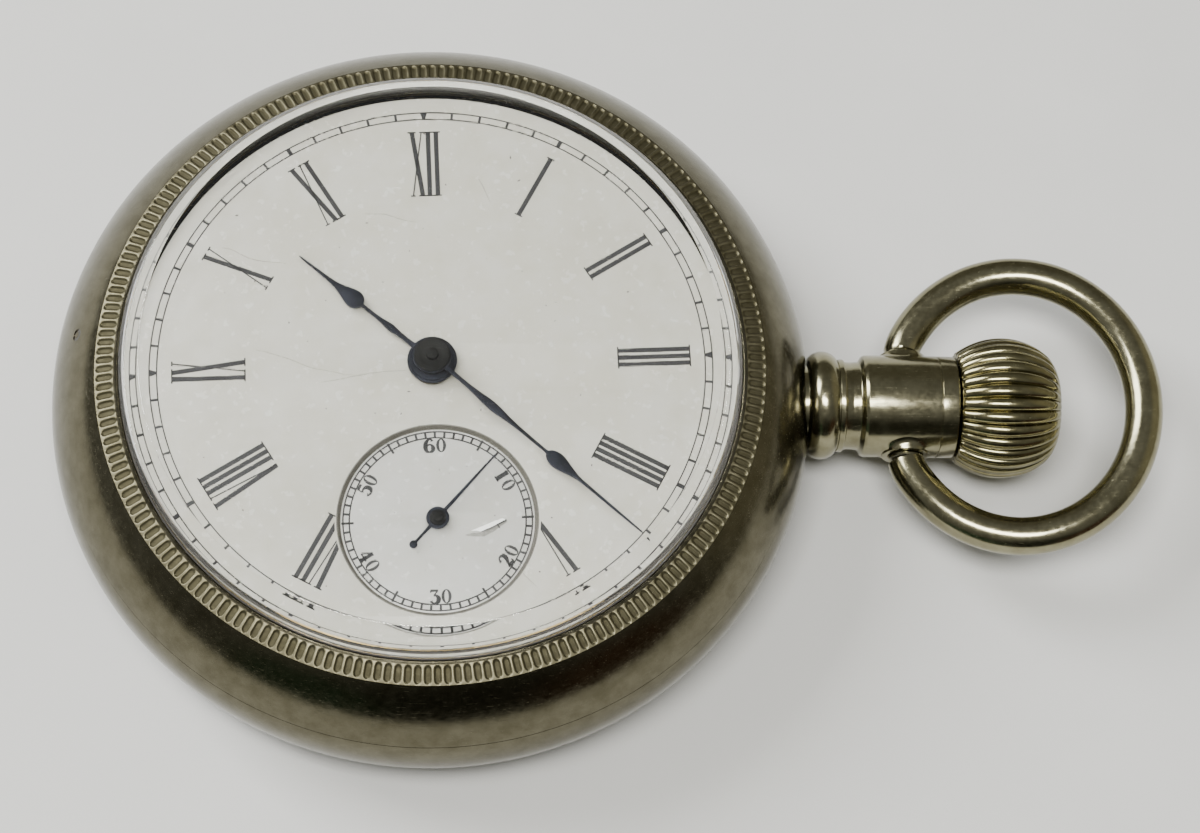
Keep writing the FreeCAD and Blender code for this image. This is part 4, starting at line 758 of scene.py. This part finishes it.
class Print:
    """Thin fired printing gathered into one mesh: each mark is a band between two edges."""

    def __init__(self, top):
        self.top = top
        self.points = []
        self.faces = []

    def band(self, one, other, closed=False):
        """A thin solid between two edges of equal length."""
        start = len(self.points)
        count = len(one)
        for height in (self.top + INK_THICK, self.top - INK_THICK):
            self.points += [(p[0], p[1], height) for p in one]
            self.points += [(p[0], p[1], height) for p in other]
        steps = count if closed else count - 1
        for i in range(steps):
            a, b = start + i, start + (i + 1) % count
            c, d = a + count, b + count
            under = 2 * count
            self.faces += [(a, b, d, c), (a + under, c + under, d + under, b + under),
                           (a, a + under, b + under, b), (c, d, d + under, c + under)]
        if not closed:
            for a in (start, start + count - 1):
                self.faces.append((a, a + count, a + 3 * count, a + 2 * count))

    def ring(self, centre, radius, half, steps=360):
        self.band(circle(radius + half, centre, steps), circle(radius - half, centre, steps), True)

    def tick(self, place, low, high, half_low, half_high):
        """A straight mark with a half width at each end."""
        self.band([place(-half_low, low), place(-half_high, high)],
                  [place(half_low, low), place(half_high, high)])

    def stroke(self, points, place=lambda *at: at):
        """A line of (x, y, half width) drawn with a swelling nib, put down by place if there is one."""
        left, right = [], []
        for i, (x, y, half) in enumerate(points):
            before, after = points[max(i - 1, 0)], points[min(i + 1, len(points) - 1)]
            ahead = Vector((after[0] - before[0], after[1] - before[1])).normalized()
            left.append(place(x - ahead.y * half, y + ahead.x * half))
            right.append(place(x + ahead.y * half, y - ahead.x * half))
        self.band(left, right)

    def finish(self, name, look):
        return stand(mesh_object(name, self.points, self.faces), look, "case")


def put(centre, angle, scale=1.0, flip=False):
    """A frame on the dial: x to the right and y outward at that dial angle, or inward with flip."""
    up = direction(angle) * (-1 if flip else 1)
    right = Vector((up.y, -up.x))
    origin = Vector(centre)
    return lambda x, y: tuple(origin + right * (x * scale) + up * (y * scale))


NUMERAL_LOW, NUMERAL_HIGH = 13.85, 19.35
THICK, THIN, SERIF = 0.178, 0.05, 0.052
NUMERALS = {30: "I", 60: "II", 90: "III", 120: "IIII", 150: "V", 210: "VII", 240: "VIII",
            270: "IX", 300: "X", 330: "XI", 0: "XII"}
WIDTHS = {"V": 1.12, "X": 1.16}
BAR_WIDTHS = {0: 0.6, 1: 0.6, 2: 0.61, 3: 0.56, 4: 0.53}

# Each letter's legs, as the places of the low and high ends across from its middle and the half width, and
# the spans of its serifs
FOOT = THICK + 0.15
LEGS = {"I": [(0, 0, THICK)], "V": [(0.06, -0.34, THICK), (0.1, 0.38, THIN)],
        "X": [(0.36, -0.36, THICK), (-0.38, 0.38, THIN)]}
HIGH_SERIFS = {"I": [(-FOOT, FOOT)], "V": [(-0.34 - FOOT, -0.34 + FOOT), (0.18, 0.58)],
               "X": [(-0.36 - FOOT, -0.36 + FOOT), (0.2, 0.58)]}
LOW_SERIFS = {"I": [(-FOOT, FOOT)], "V": [], "X": [(0.36 - FOOT, 0.36 + FOOT), (-0.58, -0.2)]}


def clip_low(place, x_low, x_high, low, high):
    """Raise the low end of a line until it leaves the sunk seconds dial."""
    edge, steps = SUBDIAL_RADIUS + 0.22, 200
    for step in range(steps):
        share = step / steps
        x, y = x_low + (x_high - x_low) * share, low + (high - low) * share
        if (Vector(place(x, y)) - SUBDIAL).length > edge:
            return x, y
    return x_high, high


def leg(marks, place, x_low, x_high, half):
    """One straight leg of a numeral, cut short where the seconds dial is in its way."""
    sides = []
    for side in (-half, half):
        x, y = clip_low(place, x_low + side, x_high + side, NUMERAL_LOW, NUMERAL_HIGH)
        sides.append([place(x, y), place(x_high + side, NUMERAL_HIGH)])
    marks.band(*sides)


def serif(marks, place, start, end, level, outward):
    """A hairline serif with small brackets under it, left out where the seconds dial is in its way."""
    middle = place((start + end) / 2, level)
    if (Vector(middle) - SUBDIAL).length < SUBDIAL_RADIUS + 0.4:
        return
    under, taper = level - outward * 2 * SERIF, 0.02
    marks.band([place(start, level), place(end, level)],
               [place(start + taper, under), place(end - taper, under)])


def numeral(marks, angle, text):
    place = put((0, 0), angle)
    widths = {**WIDTHS, "I": BAR_WIDTHS[text.count("I")]}
    x = -sum(widths[letter] for letter in text) / 2
    middles = []
    for letter in text:
        middle = x + widths[letter] / 2
        for low, high, half in LEGS[letter]:
            leg(marks, place, middle + low, middle + high, half)
        middles.append((letter, middle))
        x += widths[letter]
    for serifs, level, outward in ((HIGH_SERIFS, NUMERAL_HIGH, 1), (LOW_SERIFS, NUMERAL_LOW, -1)):
        for letter, middle in middles:
            for start, end in serifs[letter]:
                serif(marks, place, middle + start, middle + end, level, outward)


def main_dial():
    hole = 1.6
    loops = [circle(DIAL_RADIUS), circle(hole, steps=72), circle(SUBDIAL_RADIUS, SUBDIAL, SUBDIAL_STEPS)]
    piece = sheet_metal("dial_plate", loops, DIAL_LOW, DIAL_TOP, 0.09)
    stand(piece, dial_look, "case", ["dial"])
    track = Print(DIAL_TOP)
    inner, outer, line = 20.42, 20.98, 0.045
    track.ring((0, 0), inner, line)
    track.ring((0, 0), outer, line)
    for minute in range(60):
        place = put((0, 0), minute * 6)
        if minute % 15 == 0:
            wide, narrow = 0.28, 0.1
        else:
            wide = narrow = 0.16 if minute % 5 == 0 else 0.095
        track.tick(place, inner, outer, narrow, wide)
    track.finish("dial_track", ink_look)
    marks = Print(DIAL_TOP)
    for angle, text in NUMERALS.items():
        numeral(marks, angle, text)
    marks.finish("dial_numerals", ink_look)


DIGITS = {
    "1": ([(0, 0.03, 0.11), (0, 0.97, 0.11)], [(-0.22, 0.03, 0.03), (0.22, 0.03, 0.03)],
          [(-0.2, 0.83, 0.03), (-0.02, 0.95, 0.05)]),
    "2": ([(-0.24, 0.72, 0.085), (-0.23, 0.8, 0.05), (-0.12, 0.95, 0.03), (0.06, 0.97, 0.05),
           (0.23, 0.8, 0.1), (0.17, 0.56, 0.1), (-0.08, 0.27, 0.05), (-0.27, 0.06, 0.03)],
          [(-0.28, 0.06, 0.03), (-0.14, 0.12, 0.08), (0.08, 0.06, 0.09), (0.24, 0.08, 0.05),
           (0.3, 0.24, 0.02)]),
    "3": ([(-0.25, 0.93, 0.055), (0.26, 0.93, 0.04)], [(0.25, 0.94, 0.025), (-0.02, 0.6, 0.025)],
          [(-0.06, 0.57, 0.03), (0.12, 0.57, 0.05), (0.27, 0.4, 0.1), (0.24, 0.15, 0.1), (0.03, 0.02, 0.04),
           (-0.17, 0.08, 0.04), (-0.24, 0.2, 0.08)], [(-0.25, 0.95, 0.03), (-0.25, 0.78, 0.02)]),
    "4": ([(0.08, 0.98, 0.03), (-0.31, 0.3, 0.03)], [(-0.33, 0.28, 0.035), (0.33, 0.28, 0.035)],
          [(0.1, 0.98, 0.09), (0.1, 0.03, 0.09)], [(-0.08, 0.03, 0.03), (0.28, 0.03, 0.03)]),
    "5": ([(-0.2, 0.92, 0.07), (0.24, 0.92, 0.05)], [(-0.2, 0.95, 0.025), (-0.21, 0.53, 0.025)],
          [(-0.21, 0.53, 0.025), (0.0, 0.62, 0.04), (0.24, 0.47, 0.1), (0.26, 0.2, 0.1), (0.04, 0.02, 0.04),
           (-0.17, 0.07, 0.04), (-0.24, 0.19, 0.08)]),
    "6": ([(0.2, 0.82, 0.08), (0.14, 0.95, 0.03), (-0.02, 0.97, 0.04), (-0.22, 0.74, 0.09),
           (-0.27, 0.4, 0.11), (-0.2, 0.13, 0.08), (0.0, 0.02, 0.035), (0.21, 0.12, 0.08),
           (0.26, 0.32, 0.1), (0.16, 0.53, 0.05), (-0.03, 0.57, 0.03), (-0.2, 0.44, 0.03)],),
}


def digit(marks, text, place, shift):
    shifted = lambda x, y: place(x + shift, y - 0.5)
    if text == "0":
        loops = [[shifted(w * cos(a), 0.5 + h * sin(a)) for a in around(48)]
                 for w, h in ((0.345, 0.51), (0.135, 0.44))]
        marks.band(*loops, closed=True)
        return
    for points in DIGITS[text]:
        heavy = [(x, y, half * 1.36 + 0.016) for x, y, half in points]
        marks.stroke(flow(heavy, 5) if len(heavy) > 2 else heavy, shifted)


def seconds_dial():
    loops = [circle(SUBDIAL_RADIUS - 0.02, SUBDIAL, SUBDIAL_STEPS), circle(0.6, SUBDIAL, 48)]
    piece = sheet_metal("seconds_plate", loops, SUBDIAL_LOW, SUBDIAL_TOP, 0.05)
    stand(piece, seconds_look, "case", ["seconds_dial"])
    marks = Print(SUBDIAL_TOP)
    inner, outer, line, half = 6.46, 6.92, 0.055, 0.085
    marks.ring(SUBDIAL, inner, line, SUBDIAL_STEPS)
    marks.ring(SUBDIAL, outer, line, SUBDIAL_STEPS)
    for second in range(60):
        place = put(SUBDIAL, second * 6)
        long_mark = second % 10 == 5
        low, high = (inner - 0.32, outer + 0.12) if long_mark else (inner, outer)
        marks.tick(place, low, high, half, half)
    marks.finish("seconds_track", ink_look)
    digits = Print(SUBDIAL_TOP)
    reach, height, apart = 5.84, 1.06, 0.82
    for second in (60, 10, 20, 30, 40, 50):
        flip = second in (20, 30, 40)
        place = put(SUBDIAL + direction(second * 6) * reach, second * 6, height, flip)
        for text, shift in zip(str(second), (-apart / 2, apart / 2)):
            digit(digits, text, place, shift)
    digits.finish("seconds_numerals", ink_look)


def sunk_edge():
    """The greyish fired edge round the sunk seconds dial and, in the same dark colour, a painted shadow line
    at its foot.
    """
    outline = [(0.11, DIAL_TOP + 0.004), (0.05, DIAL_TOP + 0.012), (-0.03, DIAL_TOP - 0.05),
               (-0.1, SUBDIAL_TOP + 0.09), (-0.2, SUBDIAL_TOP + 0.006), (-0.2, SUBDIAL_TOP - 0.02),
               (-0.01, SUBDIAL_TOP - 0.02), (0.02, DIAL_TOP - 0.1)]
    # Painted shadow: one dark colour covers both the fired edge and the shadow line at its foot.
    rows = [level_ring(SUBDIAL_RADIUS + out, height, SUBDIAL, SUBDIAL_STEPS) for out, height in outline]
    stand(mesh_object("seconds_edge_and_shadow", *skin(rows, True)), edge_and_shadow_look, "case")


def wander(rng, start, heading_turn, length, sway):
    """A slowly wandering line with tapering half widths."""
    points = []
    x, y = start
    turn = radians(heading_turn)
    steps = 26
    for i in range(steps + 1):
        share = i / steps
        points.append((x, y, 0.007 + 0.014 * sin(pi * min(1, share + 0.08))))
        turn += rng.uniform(-sway, sway)
        x += length / steps * cos(turn)
        y += length / steps * sin(turn)
    return points


def speck(marks, x, y, dx, dy, size):
    """A tiny grain that tapers to both its ends."""
    marks.stroke([(x - dx, y - dy, size * 0.3), (x, y, size), (x + dx, y + dy, size * 0.3)])


def dial_age():
    """Hairline cracks, tiny specks and the chip beside the seconds hand."""
    rng = random.Random(18)
    grains, field, low_grains, low_field = 46, 19.6, 14, 5.6
    cracks = Print(DIAL_TOP)
    for start, heading_turn, length in (
            ((-13.2, 0.9), -8, 8.4), ((-8.2, -1.6), 4, 6.4), ((-16.0, 9.2), -14, 5.0),
            ((3.2, 15.4), -58, 2.2), ((6.6, -15.6), -70, 2.4), ((-5.5, 12.3), -6, 4.2)):
        cracks.stroke(wander(rng, start, heading_turn, length, 0.12))
    cracks.finish("dial_hairlines", crack_look)
    specks = Print(DIAL_TOP)
    for _ in range(grains):
        reach, turn = field * sqrt(rng.random()), rng.uniform(0, TURN)
        x, y = polar(reach, turn)
        size = rng.uniform(0.022, 0.062) * (1.6 if rng.random() < 0.15 else 1)
        if (Vector((x, y)) - SUBDIAL).length < SUBDIAL_RADIUS + 0.3:
            continue
        long, turned = size * rng.uniform(1.0, 2.2), rng.uniform(0, pi)
        speck(specks, x, y, *polar(long, turned), size)
    specks.finish("dial_specks", speck_look)
    low_specks = Print(SUBDIAL_TOP)
    for _ in range(low_grains):
        reach, turn = low_field * sqrt(rng.random()), rng.uniform(0, TURN)
        size = rng.uniform(0.018, 0.045)
        x, y = SUBDIAL.x + reach * cos(turn), SUBDIAL.y + reach * sin(turn)
        speck(low_specks, x, y, size, size, size)
    low_specks.finish("seconds_specks", speck_look)
    chip(SUBDIAL + Vector((3.75, -0.35)))


def chip(centre):
    """A lifted flake of enamel: a ragged sliver painted brighter than the dial as a painted highlight, with a
    painted shadow beneath it and a dark crack along it.
    """
    flake = [(-1.35, -0.34), (-0.95, -0.36), (-0.55, -0.48), (0.3, -0.1), (1.25, 0.32), (1.05, 0.5),
             (0.3, 0.28), (-0.45, -0.02)]
    rise = [0.0, 0.03, 0.09, 0.12, 0.07, 0.02, 0.02, 0.01]
    tilt = radians(4)
    spin = lambda x, y: (centre.x + x * cos(tilt) - y * sin(tilt),
                         centre.y + x * sin(tilt) + y * cos(tilt))
    # Painted shadow: a dark band laid on the seconds dial under the flake.
    shade = Print(SUBDIAL_TOP - 0.008)
    upper = [(-1.75, -0.62), (-1.2, -0.5), (-0.5, -0.52), (0.3, -0.12), (1.0, 0.2), (1.3, 0.3)]
    lower = [(-1.75, -0.68), (-1.2, -0.78), (-0.4, -0.84), (0.35, -0.46), (1.05, 0.02), (1.36, 0.24)]
    shade.band([spin(*p) for p in upper], [spin(*p) for p in lower])
    shade.finish("seconds_chip_shade", shade_look)
    # Painted highlight: the flake's enamel is coloured much lighter than the dial's.
    top = [(*spin(*p), SUBDIAL_TOP + 0.015 + h) for p, h in zip(flake, rise)]
    low = [(*spin(*p), SUBDIAL_TOP - 0.02) for p in flake]
    count = len(flake)
    faces = [tuple(range(count)), tuple(range(2 * count - 1, count - 1, -1))]
    faces += [(i, i + count, (i + 1) % count + count, (i + 1) % count) for i in range(count)]
    stand(mesh_object("seconds_flake", top + low, faces), flake_highlight_look, "case")
    crack = Print(SUBDIAL_TOP + 0.1)
    crack.stroke(flow([(-0.62, -0.5, 0.025), (0.3, -0.12, 0.04), (1.3, 0.33, 0.055)], 6), spin)
    crack.stroke([(0.62, -0.02, 0.04), (0.76, -0.26, 0.05)], spin)
    crack.finish("seconds_crack", ink_look)


# Hand pieces

def hand_outline(side, tip, hub):
    """The closed outline of a hand along +X from its half widths, joined to its round hub."""
    steps = 60
    start = asin(side[0][1] / hub)
    hub_arc = [polar(hub, start + (TURN - 2 * start) * i / steps) for i in range(steps)]
    upper = side[1:]
    return hub_arc + [(hub * cos(start), -hub * sin(start))] + [(x, -y) for x, y in upper] + \
        [(tip, 0)] + upper[::-1]


def turned_plan(loop, angle, centre=(0, 0)):
    """A loop drawn along +X, turned to a dial angle about an arbor."""
    ahead = direction(angle)
    return [(centre[0] + x * ahead.x - y * ahead.y, centre[1] + x * ahead.y + y * ahead.x) for x, y in loop]


def hands():
    hour_side = [(1.8, 0.2), (2.4, 0.17), (3.2, 0.19), (3.6, 0.235), (4.0, 0.28), (4.45, 0.235), (4.9, 0.17),
                 (5.6, 0.13), (6.75, 0.12)]
    hour_spade = flow([(6.86, 0.16), (6.98, 0.38), (7.2, 0.58), (7.6, 0.7), (8.1, 0.62), (8.7, 0.42),
                       (9.4, 0.23), (10.2, 0.14), (11.6, 0.095), (12.9, 0.05)], 5)
    minute_side = [(1.4, 0.18), (2.4, 0.15), (3.6, 0.16), (4.6, 0.23), (5.4, 0.31), (6.0, 0.335), (6.7, 0.29),
                   (7.6, 0.19), (8.5, 0.13), (10.2, 0.11), (11.25, 0.105)]
    minute_spade = flow([(11.4, 0.14), (11.55, 0.33), (11.85, 0.49), (12.35, 0.58), (12.9, 0.5), (13.5, 0.34),
                         (14.1, 0.2), (14.8, 0.12), (17.5, 0.09), (20.5, 0.05)], 5)
    arms = (("hour_hand", hour_side, hour_spade, 13.1, 1.85, HOUR_ANGLE, 13.62, 13.84, "hour_wheel", 1.0),
            ("minute_hand", minute_side, minute_spade, 20.67, 1.42, MINUTE_ANGLE, 14.5, 14.72, "center_wheel",
             0.55))
    for name, side, spade, tip, hub, angle, low, high, body, bore in arms:
        loops = [turned_plan(hand_outline(side + spade, tip, hub), angle), circle(bore, steps=48)]
        piece = sheet_metal(name + "_steel", loops, low, high, 0.035)
        stand(piece, hand_look, body, [name], sharp=40.0)
    hub_washers()
    low, high, hub, tail, tip = 13.1, 13.25, 0.85, 3.0, 6.55
    needle = [(0.82, 0.14), (1.6, 0.125), (6.4, 0.06)]
    loops = [turned_plan(hand_outline(needle, tip, hub), SECOND_ANGLE, SUBDIAL), circle(0.3, SUBDIAL, 36)]
    piece = sheet_metal("seconds_hand_steel", loops, low, high, 0.03)
    stand(piece, hand_look, "fourth_wheel", ["seconds_hand"], sharp=40.0)
    ball = 0.3
    loop = [(-0.78, 0.13), (-1.6, 0.1), (-(tail - 2 * ball), 0.1)]
    loop += [(-(tail - ball) - ball * cos(a), ball * sin(a))
             for a in (pi - 0.4 - (TURN - 0.8) * i / 24 for i in range(25))]
    loop += [(-(tail - 2 * ball), -0.1), (-1.6, -0.1), (-0.78, -0.13)]
    piece = sheet_metal("seconds_hand_tail", [turned_plan(loop, SECOND_ANGLE, SUBDIAL)], low, high, 0.03)
    stand(piece, hand_look, "fourth_wheel")


def hub_washers():
    """The hour hand's collar, which stands on its pipe, and the caps over the other two hubs."""
    hour = [(1.04, 13.41), (1.45, 13.41), (1.45, 13.82), (1.72, 13.82), (1.66, 13.92), (1.3, 13.96),
            (1.04, 13.96)]
    minute = [(0, 14.7), (1.32, 14.7), (1.36, 14.76), (1.3, 14.84), (1.05, 14.88), (0.85, 14.8), (0.56, 14.8),
              (0.46, 14.84), (0.44, 15.05), (0.36, 15.1), (0, 15.12)]
    seconds = [(0, 13.2), (0.62, 13.22), (0.58, 13.36), (0.42, 13.42), (0.38, 13.49), (0.3, 13.53),
               (0, 13.54)]
    stand(lathe("hour_hub_collar", hour, steps=96), hand_look, "hour_wheel")
    stand(lathe("minute_hub_cap", minute, steps=96, closed=False), hub_look, "center_wheel")
    cap = lathe("seconds_hub_cap", seconds, centre=(*SUBDIAL, 0), steps=64, closed=False)
    stand(cap, hub_look, "fourth_wheel")


# Studio

def surface():
    """The pale table, plain but for a very faint unevenness."""
    half, level = 1600, -0.02
    corners = [(-half, -half, level), (half, -half, level), (half, half, level), (-half, half, level)]
    piece = mesh_object("table", corners, [(0, 1, 2, 3)])
    look = Look("table_paper", Specular_IOR_Level=0.25)
    clouds = look.noise(9, Detail=5.0, Roughness=0.6)
    piece.data.materials.append(look.finish(
        look.blend(look.spread(clouds, 0.3, 0.7), (0.61, 0.61, 0.588), (0.645, 0.645, 0.622)),
        look.spread(clouds, 0.3, 0.7, 0.55, 0.7), look.bump(look.noise(1200, Detail=2.0), 0.01)))


def lamp(name, place, aim, size, power, colour):
    data = bpy.data.lights.new(name, "AREA")
    data.shape = "RECTANGLE"
    data.size, data.size_y = size
    data.energy = power
    data.color = colour
    item = put_in_scene(name, data)
    item.location = place
    item.rotation_mode = "QUATERNION"
    item.rotation_quaternion = (Vector(aim) - Vector(place)).to_track_quat("-Z", "Y")


# The surroundings' base colour, then layers of (direction, cosines where it is full and gone, colour)
SKY = (0.16, 0.16, 0.142)
SKY_LAYERS = (
    ((0, 0, 1), 0.92, 0.2, (0.25, 0.25, 0.236)),
    ((-1, 0.3, 0.25), 0.95, 0.6, (0.3, 0.305, 0.295)),
    ((0.1, 1, 0.15), 0.95, 0.6, (0.16, 0.152, 0.12)),
    ((0.95, 0.3, 0.25), 0.97, 0.72, (0.42, 0.395, 0.3)),
    ((0.15, -1, 0.12), 0.96, 0.72, (0.03, 0.031, 0.024)),
    ((0.75, -0.8, 0.1), 0.985, 0.9, (0.09, 0.05, 0.03)),
    ((-0.55, -1, 0.15), 0.985, 0.93, (0.05, 0.09, 0.055)),
)


def room():
    """Soft surroundings: bright overhead, greyer round about, and a dark figure's side near the camera."""
    world = bpy.data.worlds.new("room")
    bpy.context.scene.world = world
    world.use_nodes = True
    graph = Graph(world.node_tree)
    heading = graph.node("TexCoord").outputs["Generated"]
    sky = SKY
    for point, full, gone, colour in SKY_LAYERS:
        toward = graph.vector("DOT_PRODUCT", heading, Vector(point).normalized())["Value"]
        sky = graph.blend(graph.spread(toward, gone, full, kind="SMOOTHSTEP"), sky, colour)
    shade = graph.tree.nodes["Background"]
    graph.tree.links.new(sky, shade.inputs["Color"])
    shade.inputs["Strength"].default_value = 1.0


def camera():
    """High over the dial, a little from the left, and slightly rolled."""
    elevation, azimuth, roll = (radians(a) for a in (68.54, -6.71, 7.13))
    distance = 208.56
    aim = Vector((12.54, -3.76, DIAL_TOP)) * MM
    back = Vector((sin(azimuth) * cos(elevation), -cos(azimuth) * cos(elevation),
                   sin(elevation)))
    right = (-back).cross(Vector((0, 0, 1))).normalized()
    up = right.cross(-back)
    rolled_right = right * cos(roll) + up * sin(roll)
    rolled_up = up * cos(roll) - right * sin(roll)
    data = bpy.data.cameras.new("camera")
    data.lens = 84.0
    data.sensor_width = 36.0
    data.clip_start = 0.01
    item = put_in_scene("camera", data)
    turn = Matrix((rolled_right, rolled_up, back)).transposed()
    item.matrix_world = Matrix.Translation(aim + back * distance * MM) @ turn.to_4x4()
    bpy.context.scene.camera = item


case_band()
bezel_ring()
bezel_reeding()
crystal()
back_cover()
pendant()
bow()
crown()
main_dial()
seconds_dial()
sunk_edge()
dial_age()
hands()
surface()
room()
lamp("overhead", (-0.04, -0.12, 0.6), (-0.01, 0, 0), (0.3, 0.14), 4.4, (1.0, 0.99, 0.965))
lamp("window", (-0.5, 0.3, 0.5), (-0.03, 0, 0), (0.35, 0.4), 7.4, (0.985, 0.99, 1.0))
camera()
